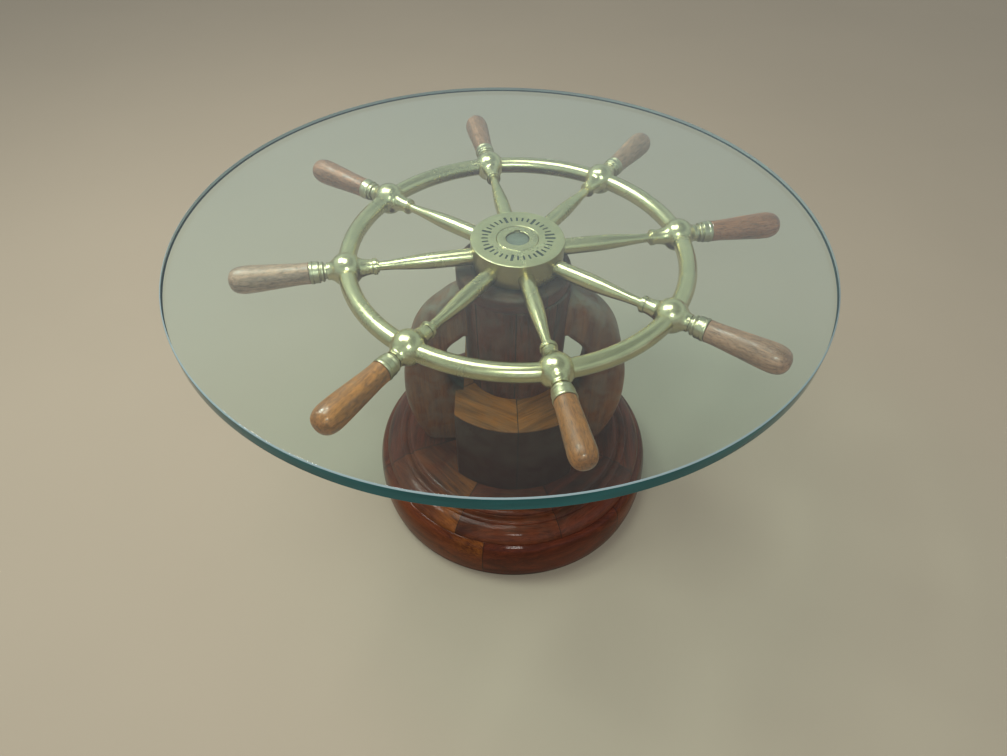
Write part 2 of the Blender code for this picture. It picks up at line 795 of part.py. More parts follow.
def build_glass():
    """Loose glass disc that lies on the balls, a little off the wheel centre."""
    rest = add_empty("glass_rest", GLASS_Z)
    edge = GLASS_RADIUS - GLASS_ARRIS
    glass = turned(
        "glass_top",
        [
            (0.0, GLASS_THICKNESS),
            (edge, GLASS_THICKNESS),
            (GLASS_RADIUS, GLASS_THICKNESS - GLASS_ARRIS),
            (GLASS_RADIUS, GLASS_ARRIS),
            (edge, 0.0),
            (0.0, 0.0),
        ],
        72,
        GLASS,
        rest,
    )
    glass.location = (GLASS_SHIFT_X, GLASS_SHIFT_Y, 0.0)


clear_scene()
PARTS = make_collection("ship_wheel_table")
CUTTERS = make_collection("cutters")
BRASS = make_material("brass", (0.62, 0.52, 0.28), 0.28, 1.0)
STEEL = make_material("steel", (0.42, 0.43, 0.42), 0.40, 1.0)
BRONZE = make_material("bronze", (0.44, 0.29, 0.14), 0.38, 1.0)
BASE_WOOD = make_material("base_wood", (0.105, 0.040, 0.022), 0.24, 0.0)
GRIP_WOOD = make_material("grip_wood", (0.35, 0.19, 0.085), 0.42, 0.0)
GLASS = make_material("glass", (0.78, 0.90, 0.86), 0.04, 0.0, 0.35)

WHEEL_AXIS = build_wheel()
build_spindle(WHEEL_AXIS)
build_bearing()
build_base()
build_arms()
build_glass()
bpy.context.view_layer.update()
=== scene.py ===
"""Ship wheel coffee table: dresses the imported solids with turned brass, varnished wood and glass.

Metres, +Z up. The pedestal axis is the Z axis and the floor is Z = 0.
"""
import math

import bmesh
import bpy
from bpy.props import FloatProperty, FloatVectorProperty, IntProperty, PointerProperty
from mathutils import Matrix, Vector


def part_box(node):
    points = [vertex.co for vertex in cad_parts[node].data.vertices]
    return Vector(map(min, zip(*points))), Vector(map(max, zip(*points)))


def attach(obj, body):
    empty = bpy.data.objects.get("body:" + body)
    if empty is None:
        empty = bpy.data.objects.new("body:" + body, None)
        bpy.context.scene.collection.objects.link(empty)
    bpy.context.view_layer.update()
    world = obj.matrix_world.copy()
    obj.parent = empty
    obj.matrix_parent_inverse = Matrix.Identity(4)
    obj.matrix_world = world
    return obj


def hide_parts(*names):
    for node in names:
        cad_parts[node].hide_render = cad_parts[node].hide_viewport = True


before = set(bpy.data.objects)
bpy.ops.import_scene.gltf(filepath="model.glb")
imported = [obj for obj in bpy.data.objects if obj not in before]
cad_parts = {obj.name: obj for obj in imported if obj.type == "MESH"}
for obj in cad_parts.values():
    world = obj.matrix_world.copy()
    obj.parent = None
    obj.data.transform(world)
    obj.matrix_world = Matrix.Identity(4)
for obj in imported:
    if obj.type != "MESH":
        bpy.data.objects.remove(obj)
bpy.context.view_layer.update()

bl_info = {
    "name": "Ship Wheel Table",
    "version": (1, 0, 0),
    "blender": (4, 5, 0),
    "location": "View3D > Sidebar > Wheel Table",
    "description": "Makes the brass, wood and glass pieces of a ship wheel coffee table",
    "category": "Object",
}

FULL_TURN = 2.0 * math.pi

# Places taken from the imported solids
GLASS_LOW, GLASS_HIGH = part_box("glass_top")
HUB_LOW, HUB_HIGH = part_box("wheel_hub")
SLEEVE_LOW, SLEEVE_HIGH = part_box("hub_sleeve")
SPINDLE_LOW, SPINDLE_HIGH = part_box("wheel_spindle")
KEY_LOW, KEY_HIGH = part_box("spindle_key")
WASHER_LOW, WASHER_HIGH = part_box("thrust_washer")
BUSH_LOW, BUSH_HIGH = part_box("spindle_bush")
BALL_LOW, BALL_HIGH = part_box("rim_ball_1")
FOOT_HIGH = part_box("pedestal_foot")[1]
MOULDING_LOW, MOULDING_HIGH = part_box("base_moulding")
DRUM_LOW, DRUM_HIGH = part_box("pedestal_drum")
COLUMN_LOW, COLUMN_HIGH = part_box("pedestal_column")
CAP_LOW, CAP_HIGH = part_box("column_cap")
BOLT_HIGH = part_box("base_bolt")[1]
RIM_Z = (BALL_LOW.z + BALL_HIGH.z) / 2.0

# Wheel layout and play, the same as in the solids
SPOKE_COUNT = 8
SPOKE_START = math.radians(9.6)
SPOKE_ANGLES = [SPOKE_START + index * FULL_TURN / SPOKE_COUNT for index in range(SPOKE_COUNT)]
SMALL_GRIP = 7
GAP = 0.0003
BOLT_SHANK = 0.0080
BOLT_HOLE = BOLT_SHANK + GAP

# Camera that stands where the photograph was taken
CAMERA_PLACE = Vector((-0.0331, -0.8267, 1.0958))
CAMERA_YAW = math.radians(1.03)
CAMERA_PITCH = math.radians(46.15)
CAMERA_ROLL = math.radians(0.45)
CAMERA_SENSOR = 36.0
PHOTO_WIDTH = 1007.0
FOCAL_PIXELS = 700.0
CAMERA_LENS = CAMERA_SENSOR * FOCAL_PIXELS / PHOTO_WIDTH

# Depth of the bump in each kind of surface
METAL_RELIEF = 0.0003
WOOD_RELIEF = 0.0004
GLASS_RELIEF = 0.0002

# Lengths of the finishes: the wax in the hub's marks, glue joints, the painted light on the drum's ledge,
# the dark band at the floor
WAX_FADE = 0.0003
WAX_MARGIN = 0.0005
JOINT_LINE = 0.0011
PAINTED_LEDGE_FADE = (0.0030, 0.0012)
FLOOR_DARK_BAND = (0.0015, 0.0050)

# Tones that no user would change
WAX_DARK = (0.012, 0.013, 0.010)
WAX_PALE = (0.060, 0.058, 0.042)
DARK_LINE_TONE = (0.010, 0.006, 0.004)
DEEPEST_GRAIN = (0.008, 0.004, 0.003)
WHITE = (1.0, 1.0, 1.0)


def length(label, words, value):
    """Length property in metres."""
    return FloatProperty(
        name=label, description=words, default=value, min=0.0001, unit="LENGTH", precision=4
    )


def colour(label, words, value):
    """Colour property."""
    return FloatVectorProperty(
        name=label, description=words, default=value, size=3, min=0.0, max=1.0, subtype="COLOR"
    )


class GlassSettings(bpy.types.PropertyGroup):
    """Sizes and tint of the glass disc."""

    radius: length("Radius", "Radius of the disc", GLASS_HIGH.x / 2.0 - GLASS_LOW.x / 2.0)
    arris: length("Arris", "Width of the ground edge between face and rim", 0.0015)
    tint: colour("Tint", "Colour that the glass takes in depth", (0.075, 0.89, 0.76))
    depth: FloatProperty(
        name="Depth", description="Strength of the tint for each metre", default=8.0, min=0.0
    )
    edge: colour("Edge", "Colour of the rim, seen along the depth of the glass", (0.010, 0.112, 0.116))
    # Inner rim and its line paint the rim as seen from inside the glass: a pale grey painted reflection
    # over a dark painted shade line
    inner: colour("Inner rim", "Rim as it shows through the glass", (0.33, 0.37, 0.37))
    painted_shade_line: colour("Inner line", "Dark line at the foot of the rim in the glass", (0.03, 0.05, 0.055))
    ground: colour("Ground edge", "Colour of the ground arris", (0.29, 0.39, 0.40))


class WheelSettings(bpy.types.PropertyGroup):
    """Sizes and finish of the brass wheel."""

    hub_radius: length("Hub radius", "Outer radius of the hub", HUB_HIGH.x)
    hub_round: length("Hub edge", "Rounding of the upper edge of the hub", 0.0018)
    tick_radius: length("Tick ring", "Middle radius of the cut marks on the hub face", 0.0465)
    tick_length: length("Tick length", "Length of a cut mark", 0.0120)
    tick_width: length("Tick width", "Width of a cut mark", 0.0027)
    tick_depth: length("Tick depth", "Depth of a cut mark", 0.0009)
    tick_count: IntProperty(name="Ticks", description="Number of cut marks", default=36, min=4, max=120)
    rim_radius: length("Rim radius", "Radius of the rim to the middle of its tube", 0.2415)
    tube_radius: length("Tube radius", "Radius of the rim tube", 0.0127)
    ball_radius: length("Ball radius", "Radius of the balls in the rim", BALL_HIGH.z - RIM_Z)
    spoke_root: length("Spoke root", "Radius of a spoke at the hub", 0.0118)
    spoke_tip: length("Spoke tip", "Radius of a spoke before its collar", 0.0063)
    brass: colour("Brass", "Polished brass", (0.75, 0.64, 0.36))
    tarnish: colour("Tarnish", "Brass that has dulled", (0.52, 0.45, 0.26))
    steel: colour("Steel", "Spindle, key, washer and bolt", (0.50, 0.48, 0.36))
    bronze: colour("Bronze", "Bush that the spindle turns in", (0.46, 0.30, 0.15))


class HandleSettings(bpy.types.PropertyGroup):
    """Sizes, brass and woods of the eight handles."""

    ferrule_radius: length("Ferrule radius", "Widest radius of a ferrule", 0.0156)
    ferrule_length: length("Ferrule length", "Length of a ferrule along the spoke", 0.0225)
    grip_length: length("Grip length", "Length of a wooden grip", 0.1090)
    grip_radius: length("Grip radius", "Widest radius of a wooden grip", 0.0190)
    small_length: length("Small grip length", "Length of the smaller grip", 0.0950)
    small_radius: length("Small grip radius", "Widest radius of the smaller grip", 0.0172)
    ferrule_brass: colour("Ferrule brass", "Weathered brass of the ferrules", (0.66, 0.57, 0.36))
    grey_wood: colour("Grey wood", "Grip wood that has lost its varnish", (0.47, 0.240, 0.140))
    brown_wood: colour("Brown wood", "Grip wood under worn varnish", (0.40, 0.128, 0.048))
    orange_wood: colour("Orange wood", "Grip wood under whole varnish", (0.56, 0.19, 0.030))
    pale_wood: colour("Pale wood", "Grip wood that the light has bleached", (0.56, 0.305, 0.185))


class PedestalSettings(bpy.types.PropertyGroup):
    """Sizes and woods of the pedestal."""

    foot_radius: length("Foot radius", "Widest radius of the foot", FOOT_HIGH.x)
    moulding_radius: length("Moulding radius", "Widest radius of the moulding", MOULDING_HIGH.x)
    moulding_top: length("Moulding top", "Radius of the moulding at its upper edge", 0.1830)
    drum_radius: length("Drum radius", "Radius of the drum", DRUM_HIGH.y)
    drum_flat: length("Drum flat", "Distance from the axis to the flats of the drum", DRUM_HIGH.x)
    drum_rebate: length("Drum rebate", "Distance from the axis to the rebates for the arms", 0.0835)
    rebate_front: length("Rebate front", "Distance from the axis to the front of the rebates", 0.0560)
    column_radius: length("Column radius", "Radius of the column at its top", COLUMN_HIGH.x)
    column_foot: length("Column foot", "Radius of the column at its foot", 0.0775)
    cap_radius: length("Cap radius", "Radius of the cap", (CAP_HIGH.x - CAP_LOW.x) / 2.0)
    arm_thickness: length("Arm thickness", "Thickness of the side arms", 0.0640)
    red_wood: colour("Red wood", "Varnished wood of foot and moulding", (0.130, 0.025, 0.009))
    # Dark wood is also the painted shade on the drum's wall; orange wood is also the painted light on the
    # drum's top ledge
    dark_wood: colour("Dark wood", "Darkest grain of the varnished wood", (0.040, 0.009, 0.004))
    orange_wood: colour("Orange wood", "Palest segments and the drum's top", (0.400, 0.130, 0.018))
    dust: colour("Dust", "Dust on the pedestal, under the glass", (0.175, 0.155, 0.110))


class TableSettings(bpy.types.PropertyGroup):
    """Everything about the table that a user may change."""

    glass: PointerProperty(type=GlassSettings)
    wheel: PointerProperty(type=WheelSettings)
    handles: PointerProperty(type=HandleSettings)
    pedestal: PointerProperty(type=PedestalSettings)


# Outlines of turned pieces are lists of (distance from the axis, place along it)
CORNER_STEPS = 5
FLOW_STEPS = 6
GROOVE_STEPS = (-1.0, -0.5, 0.0, 0.5, 1.0)
BEVEL_STEPS = 3
SHARP_ANGLE = math.radians(38.0)
MERGE = 1e-6


def points(places):
    """Outline with sharp corners at the places."""
    return [Vector(place) for place in places]


def rounded(corners):
    """Outline through (radius, place, rounding) corners, each cut back to an arc."""
    outline = []
    for index, (radius, place, rounding) in enumerate(corners):
        corner = Vector((radius, place))
        if rounding <= 0.0 or index in (0, len(corners) - 1):
            outline.append(corner)
            continue
        before = Vector(corners[index - 1][:2]) - corner
        after = Vector(corners[index + 1][:2]) - corner
        start = corner + before.normalized() * min(rounding, before.length / 2.0)
        end = corner + after.normalized() * min(rounding, after.length / 2.0)
        for step in range(CORNER_STEPS + 1):
            share = step / CORNER_STEPS
            rest = 1.0 - share
            outline.append(start * rest * rest + corner * 2.0 * share * rest + end * share * share)
    return outline


def flowing(places):
    """Smooth outline through all the places."""
    knots = points(places)
    knots = [2.0 * knots[0] - knots[1]] + knots + [2.0 * knots[-1] - knots[-2]]
    outline = [knots[1]]
    for before, start, end, after in zip(knots, knots[1:], knots[2:], knots[3:]):
        for step in range(1, FLOW_STEPS + 1):
            t = step / FLOW_STEPS
            linear = (end - before) * t
            square = (2.0 * before - 5.0 * start + 4.0 * end - after) * t**2
            cube = (3.0 * start - before - 3.0 * end + after) * t**3
            outline.append(0.5 * (2.0 * start + linear + square + cube))
    return outline


def apart(angle, other):
    """Smallest turn between two angles."""
    return abs(math.remainder(angle - other, FULL_TURN))


def spread(steps, joints=(), half_width=0.0):
    """Angles of a turned piece, closer together at the joints that get a groove."""
    spacing = FULL_TURN / steps
    angles = [step * FULL_TURN / steps for step in range(steps)]
    for joint in joints:
        angles = [angle for angle in angles if apart(angle, joint) > spacing]
        angles += [joint + half_width * share for share in GROOVE_STEPS]
    return sorted(angle % FULL_TURN for angle in angles)


def turned(outline, steps, closed=False, joints=(), groove=0.0, half_width=0.0):
    """Mesh of an outline turned round the Z axis, with upright grooves outside at the joints."""
    angles = spread(steps, joints, half_width)
    inside = max(radius for radius, place in outline) / 2.0
    shape = bmesh.new()
    rings = []
    for radius, place in outline:
        if radius < MERGE:
            rings.append([shape.verts.new((0.0, 0.0, place))])
            continue
        ring = []
        for angle in angles:
            cut = 0.0
            for joint in joints if radius > inside else ():
                cut = max(cut, groove * (1.0 - apart(angle, joint) / half_width))
            reach = radius - cut
            ring.append(shape.verts.new((reach * math.cos(angle), reach * math.sin(angle), place)))
        rings.append(ring)
    pairs = list(zip(rings, rings[1:]))
    if closed:
        pairs.append((rings[-1], rings[0]))
    count = len(angles)
    for upper, lower in pairs:
        for index in range(count):
            following = (index + 1) % count
            if len(upper) == 1 and len(lower) > 1:
                shape.faces.new((upper[0], lower[index], lower[following]))
            elif len(lower) == 1 and len(upper) > 1:
                shape.faces.new((upper[index], lower[0], upper[following]))
            elif len(upper) > 1:
                shape.faces.new((upper[index], lower[index], lower[following], upper[following]))
    return finished(shape, "turned")


def peg(radius, low, high, steps):
    """Mesh of a round bar to bore with."""
    return turned(points([(0.0, high), (radius, high), (radius, low), (0.0, low)]), steps)


def finished(shape, name):
    """Plain mesh of a closed shape, smooth between its sharp edges."""
    bmesh.ops.remove_doubles(shape, verts=shape.verts, dist=MERGE)
    bmesh.ops.recalc_face_normals(shape, faces=shape.faces)
    mesh = bpy.data.meshes.new(name)
    shape.to_mesh(mesh)
    shape.free()
    soften(mesh)
    return mesh


def soften(mesh):
    """Smooth shading that keeps the sharp edges."""
    mesh.shade_smooth()
    mesh.set_sharp_from_angle(angle=SHARP_ANGLE)


def block(low, high, rounding=0.0):
    """Mesh of a box between two corners, with its edges eased."""
    shape = bmesh.new()
    size = Vector(high) - Vector(low)
    place = Matrix.Translation((Vector(low) + Vector(high)) / 2.0) @ Matrix.Diagonal((*size, 1.0))
    bmesh.ops.create_cube(shape, size=1.0, matrix=place)
    if rounding > 0.0:
        edges = list(shape.edges)
        bmesh.ops.bevel(
            shape, geom=edges, offset=rounding, segments=BEVEL_STEPS, profile=0.5, affect="EDGES"
        )
    return finished(shape, "block")


def scratch_object(data):
    """Object that is only used while a piece is being made."""
    obj = bpy.data.objects.new("blank", data)
    bpy.context.scene.collection.objects.link(obj)
    return obj


def taken_off(obj):
    """Plain mesh of an object with its modifiers done; the object is removed."""
    bpy.context.view_layer.update()
    evaluated = obj.evaluated_get(bpy.context.evaluated_depsgraph_get())
    mesh = bpy.data.meshes.new_from_object(evaluated)
    mesh.transform(obj.matrix_world)
    bpy.data.objects.remove(obj, do_unlink=True)
    return mesh


def carved(mesh, cutter):
    """Mesh with another mesh cut out of it."""
    tool = scratch_object(cutter)
    tool.hide_render = True
    piece = scratch_object(mesh)
    boolean = piece.modifiers.new("cut", "BOOLEAN")
    boolean.operation = "DIFFERENCE"
    boolean.solver = "EXACT"
    boolean.object = tool
    result = taken_off(piece)
    bpy.data.objects.remove(tool, do_unlink=True)
    soften(result)
    return result


def on_spoke(outline, steps, angle):
    """Mesh of an outline turned round a spoke of the wheel."""
    mesh = turned(outline, steps)
    lie = Matrix.Rotation(math.pi / 2.0, 4, "Y")
    mesh.transform(Matrix.Translation((0.0, 0.0, RIM_Z)) @ Matrix.Rotation(angle, 4, "Z") @ lie)
    return mesh


def add_piece(name, mesh, material, body, slot, *nodes):
    """Put a finished mesh in the scene: it rides on a body and stands for solids."""
    mesh.name = name
    if material is not None:
        mesh.materials.clear()
        mesh.materials.append(material)
    piece = bpy.data.objects.new(name, mesh)
    bpy.context.scene.collection.objects.link(piece)
    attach(piece, body)
    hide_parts(*nodes)


class Wiring:
    """Adds nodes to a tree and links them."""

    def __init__(self, tree):
        self.tree = tree

    def feed(self, socket, value):
        """Link an output to an input, or set the input to a plain value."""
        if isinstance(value, bpy.types.NodeSocket):
            self.tree.links.new(value, socket)
        else:
            socket.default_value = value

    def add(self, kind, inputs=None, **settings):
        """New node with its settings and inputs."""
        node = self.tree.nodes.new(kind)
        for name, value in settings.items():
            setattr(node, name, value)
        for name, value in (inputs or {}).items():
            self.feed(node.inputs[name], value)
        return node

    def math(self, operation, first, second=0.0, *third):
        """Number made from other numbers."""
        inputs = dict(enumerate((first, second, *third)))
        return self.add("ShaderNodeMath", inputs, operation=operation).outputs[0]

    def plus(self, first, second):
        """Sum of two numbers."""
        return self.math("ADD", first, second)

    def minus(self, first, second):
        """First number less the second."""
        return self.math("SUBTRACT", first, second)

    def times(self, first, second):
        """Product of two numbers."""
        return self.math("MULTIPLY", first, second)

    def over(self, first, second):
        """First number divided by the second."""
        return self.math("DIVIDE", first, second)

    def scaled(self, vector, parts):
        """Vector or colour, each part times its own number."""
        return self.add("ShaderNodeVectorMath", {0: vector, 1: parts}, operation="MULTIPLY").outputs[0]

    def mix(self, share, first, second):
        """Colour between two colours."""
        inputs = {0: share, 6: first, 7: second}
        return self.add("ShaderNodeMix", inputs, data_type="RGBA").outputs[2]

    def stain(self, share, tone, parts):
        """Colour that is scaled by the parts where the share is high."""
        return self.mix(share, tone, self.scaled(tone, parts))

    def noise(self, vector, scale, detail=4.0, distortion=0.0):
        """Soft pattern from 0 to 1."""
        inputs = {"Vector": vector, "Scale": scale, "Detail": detail, "Distortion": distortion}
        return self.add("ShaderNodeTexNoise", inputs).outputs["Fac"]

    def streaks(self, vector, along, across, detail=4.0, distortion=0.0):
        """Soft pattern from 0 to 1, drawn out along X."""
        return self.noise(self.scaled(vector, (along, across, across)), 1.0, detail, distortion)

    def band(self, value, low, high, to_low=0.0, to_high=1.0):
        """Number taken smoothly from one range to another."""
        inputs = {"Value": value, "From Min": low, "From Max": high, "To Min": to_low, "To Max": to_high}
        return self.add("ShaderNodeMapRange", inputs, interpolation_type="SMOOTHSTEP").outputs["Result"]

    def split(self, vector):
        """X, Y and Z of a vector."""
        return self.add("ShaderNodeSeparateXYZ", {0: vector}).outputs

    def join(self, x, y, z):
        """Vector from X, Y and Z."""
        return self.add("ShaderNodeCombineXYZ", {0: x, 1: y, 2: z}).outputs[0]

    def place(self):
        """Place on the piece, in metres."""
        return self.add("ShaderNodeTexCoord").outputs["Object"]

    def from_axis(self, x, y):
        """Distance from the Z axis."""
        return self.math("SQRT", self.plus(self.times(x, x), self.times(y, y)))

    def looks_up(self):
        """How far the surface looks up: 1 on a top, 0 on a wall and -1 underneath."""
        return self.split(self.add("ShaderNodeNewGeometry").outputs["Normal"])[2]

    def bump(self, height, strength, distance):
        """Normal bent by a height."""
        inputs = {"Height": height, "Strength": strength, "Distance": distance}
        return self.add("ShaderNodeBump", inputs).outputs["Normal"]

    def group(self, name, inputs):
        """Shared effect, with its own values here."""
        tree = EFFECTS[name]() if name not in bpy.data.node_groups else bpy.data.node_groups[name]
        return self.add("ShaderNodeGroup", inputs, node_tree=tree).outputs


def rgba(value):
    """Colour with its alpha."""
    return (*value, 1.0)


def weighted(tone, share):
    """Colour with each of its parts times a share."""
    return [share * part for part in tone]


def between(first, second, share):
    """Colour between two colours."""
    return Vector(first).lerp(Vector(second), share)


# Kinds of socket
NUMBER = "NodeSocketFloat"
COUNT = "NodeSocketInt"
COLOUR = "NodeSocketColor"
VECTOR = "NodeSocketVector"
SHAPE = "NodeSocketGeometry"
MATERIAL = "NodeSocketMaterial"
SURFACE = {"Color": COLOUR, "Roughness": NUMBER, "Height": NUMBER}


def new_tree(kind, name, inputs, outputs):
    """Empty node tree with its named sockets: its wiring, what it is given and what it puts out."""
    tree = bpy.data.node_groups.new(name, kind)
    for side, sockets in (("INPUT", inputs), ("OUTPUT", outputs)):
        for label, socket_type in sockets.items():
            tree.interface.new_socket(label, in_out=side, socket_type=socket_type)
    w = Wiring(tree)
    return w, w.add("NodeGroupInput").outputs, w.add("NodeGroupOutput").inputs


def new_effect(name, inputs, outputs):
    """Empty shared effect of the finishes."""
    return new_tree("ShaderNodeTree", name, inputs, outputs)


def metal_wear_and_shade():
    """Handled metal: cloudy tarnish, fine rubbing, small dark pits, and painted shade that darkens the
    underside.
    """
    w, given, out = new_effect(
        "metal wear and shade",
        {"Vector": VECTOR, "Polished": COLOUR, "Dull": COLOUR, "Tarnish": NUMBER, "Satin": NUMBER},
        SURFACE,
    )
    place, dull = given["Vector"], given["Dull"]
    cloud = w.band(w.noise(place, scale=22.0, detail=6.0, distortion=0.4), 0.30, 0.72)
    rub = w.noise(place, scale=240.0, detail=5.0)
    pits = w.band(w.noise(place, scale=520.0, detail=2.0), 0.70, 0.76)
    toned = w.mix(w.times(cloud, given["Tarnish"]), given["Polished"], dull)
    rubbed = w.mix(w.band(rub, 0.3, 0.8, to_high=0.10), toned, dull)
    # Dark tone of the pits, also used for the painted shade on the underside
    dark = w.scaled(dull, (0.45, 0.42, 0.36))
    pitted = w.mix(w.times(pits, 0.15), rubbed, dark)
    # Painted shade: surfaces that face down are darkened towards the dark tone
    painted_underside_shade = w.band(w.looks_up(), -0.5, 0.7, to_low=0.6, to_high=0.0)
    w.feed(out["Color"], w.mix(painted_underside_shade, pitted, dark))
    rough = w.plus(w.times(cloud, 0.06), w.times(rub, 0.04))
    w.feed(out["Roughness"], w.plus(rough, given["Satin"]))
    w.feed(out["Height"], w.minus(w.times(rub, 0.5), pits))
    return w.tree


def wood_grain():
    """Straight grained hardwood: ribbon figure, fibres and short dark pores along X."""
    w, given, out = new_effect(
        "wood grain", {"Vector": VECTOR, "Pale": COLOUR, "Dark": COLOUR, "Pores": NUMBER}, SURFACE
    )
    place = given["Vector"]
    ribbon = w.streaks(place, along=6.0, across=34.0, detail=4.0, distortion=0.9)
    fibre = w.streaks(place, along=24.0, across=380.0, detail=5.0, distortion=0.3)
    pore = w.streaks(place, along=70.0, across=1100.0, detail=2.0)
    pore = w.times(w.band(pore, 0.56, 0.70), given["Pores"])
    figure = w.plus(w.times(ribbon, 0.62), w.times(fibre, 0.38))
    toned = w.mix(w.band(figure, 0.30, 0.70), given["Dark"], given["Pale"])
    w.feed(out["Color"], w.mix(pore, toned, w.scaled(given["Dark"], (0.6, 0.55, 0.5))))
    w.feed(out["Roughness"], w.band(fibre, 0.2, 0.8, to_low=0.30, to_high=0.46))
    w.feed(out["Height"], w.minus(w.times(fibre, 0.4), pore))
    return w.tree


def ring_of_segments():
    """Ring glued up from segments: a tone for each, a line at each joint, and the grain's directions."""
    w, given, out = new_effect(
        "ring of segments",
        dict.fromkeys(("Count", "Turn", "Line", "Seed"), NUMBER),
        {"Tone": NUMBER, "Joint": NUMBER, "End": NUMBER, "Round": VECTOR, "Upright": VECTOR},
    )
    x, y, z = w.split(w.place())
    radius = w.from_axis(x, y)
    angle = w.minus(w.math("ARCTAN2", y, x), given["Turn"])
    around = w.math("FLOORED_MODULO", w.over(angle, FULL_TURN), 1.0)
    place = w.times(around, given["Count"])
    index = w.math("FLOOR", place)
    part = w.minus(w.math("FRACT", place), 0.5)
    turn = w.times(w.over(part, given["Count"]), FULL_TURN)

    def metres_left(share):
        """Way along the ring to the end of a segment, from a share of it past its middle."""
        return w.times(w.times(w.over(w.minus(0.5, share), given["Count"]), FULL_TURN), radius)

    w.feed(out["End"], metres_left(part))
    to_joint = metres_left(w.math("ABSOLUTE", part))
    core = w.times(given["Line"], 0.35)
    w.feed(out["Joint"], w.band(to_joint, core, given["Line"], to_low=1.0, to_high=0.0))
    shift = w.plus(w.times(index, 3.7), given["Seed"])
    sway = w.math("SINE", w.plus(w.times(index, 2.4), given["Seed"]))
    w.feed(out["Tone"], w.math("FLOORED_MODULO", w.times(sway, 2.7), 1.0))
    run = w.plus(w.times(radius, w.math("SINE", turn)), shift)
    depth = w.times(radius, w.math("COSINE", turn))
    w.feed(out["Round"], w.join(run, depth, z))
    w.feed(out["Upright"], w.join(w.plus(z, shift), depth, run))
    return w.tree


def dust_film():
    """Dust that lies in patches, thicker where the surface looks up."""
    w, given, out = new_effect(
        "dust film",
        {"Color": COLOUR, "Roughness": NUMBER, "Dust": COLOUR, "Amount": NUMBER},
        {"Color": COLOUR, "Roughness": NUMBER},
    )
    lying = w.band(w.looks_up(), -0.2, 0.9, to_low=0.35)
    patch = w.band(w.noise(w.place(), scale=38.0, detail=7.0, distortion=0.5), 0.28, 0.72, to_low=0.25)
    share = w.times(w.times(lying, patch), given["Amount"])
    w.feed(out["Color"], w.mix(share, given["Color"], given["Dust"]))
    w.feed(out["Roughness"], w.plus(given["Roughness"], w.times(share, 0.4)))
    return w.tree


EFFECTS = {
    "metal wear and shade": metal_wear_and_shade,
    "wood grain": wood_grain,
    "ring of segments": ring_of_segments,
    "dust film": dust_film,
}


def new_finish(name):
    """Empty material with its wiring and its main shader."""
    material = bpy.data.materials.new(name)
    material.use_nodes = True
    return material, Wiring(material.node_tree), material.node_tree.nodes["Principled BSDF"]


def shade(w, shader, **values):
    """Feed the main shader's inputs, with _ for a space in their names."""
    for name, value in values.items():
        w.feed(shader.inputs[name.replace("_", " ")], value)


def worn_metal_and_shade(w, place, polished, dull, tarnish, satin):
    """Outputs of the metal's wear and of its painted underside shade."""
    tones = {"Polished": rgba(polished), "Dull": rgba(dull)}
    return w.group("metal wear and shade", {"Vector": place, **tones, "Tarnish": tarnish, "Satin": satin})


def dusty(w, surface, tone, dust, amount):
    """Outputs of the dust on a surface with its own tone."""
    inputs = {"Color": tone, "Roughness": surface["Roughness"], "Dust": rgba(dust), "Amount": amount}
    return w.group("dust film", inputs)


def metal_finish(name, polished, dull, tarnish, satin=0.20):
    """Worn metal, with painted shade on its underside."""
    material, w, shader = new_finish(name)
    metal = worn_metal_and_shade(w, w.place(), polished, dull, tarnish, satin)
    shade(
        w, shader, Base_Color=metal["Color"], Roughness=metal["Roughness"], Metallic=1.0,
        Normal=w.bump(metal["Height"], 0.015, METAL_RELIEF),
    )
    return material


def hub_finish(wheel):
    """Brass of the hub: fine turning rings on its face, dark wax in the cut marks, and painted shade on
    its side.
    """
    material, w, shader = new_finish("hub brass")
    place = w.place()
    x, y, z = w.split(place)
    radius = w.from_axis(x, y)
    metal = worn_metal_and_shade(w, place, wheel.brass, wheel.tarnish, tarnish=0.75, satin=0.25)
    floor_z = HUB_HIGH.z - 0.3 * wheel.tick_depth
    sunk = w.band(z, floor_z - WAX_FADE, floor_z, to_low=1.0, to_high=0.0)
    reach = wheel.tick_length
    ring = w.math("ABSOLUTE", w.minus(radius, wheel.tick_radius))
    wax = w.times(sunk, w.band(ring, reach, reach + WAX_MARGIN, to_low=1.0, to_high=0.0))
    grime = w.mix(w.noise(place, scale=700.0, detail=2.0), rgba(WAX_DARK), rgba(WAX_PALE))
    # Painted shade: the side of the hub is darker than its face, standing in for the dark wood it
    # reflects
    painted_shade_side = w.scaled(metal["Color"], (0.62, 0.58, 0.52))
    tone = w.mix(w.band(w.looks_up(), 0.3, 0.8), painted_shade_side, metal["Color"])
    lines = w.noise(w.join(w.times(radius, 900.0), 0.0, 0.0), scale=1.0, detail=3.0)
    shade(
        w, shader,
        Base_Color=w.mix(wax, tone, grime),
        Roughness=w.plus(metal["Roughness"], w.times(wax, 0.3)),
        Metallic=w.minus(1.0, wax),
        Normal=w.bump(w.plus(metal["Height"], w.times(lines, 0.8)), 0.05, METAL_RELIEF),
    )
    return material


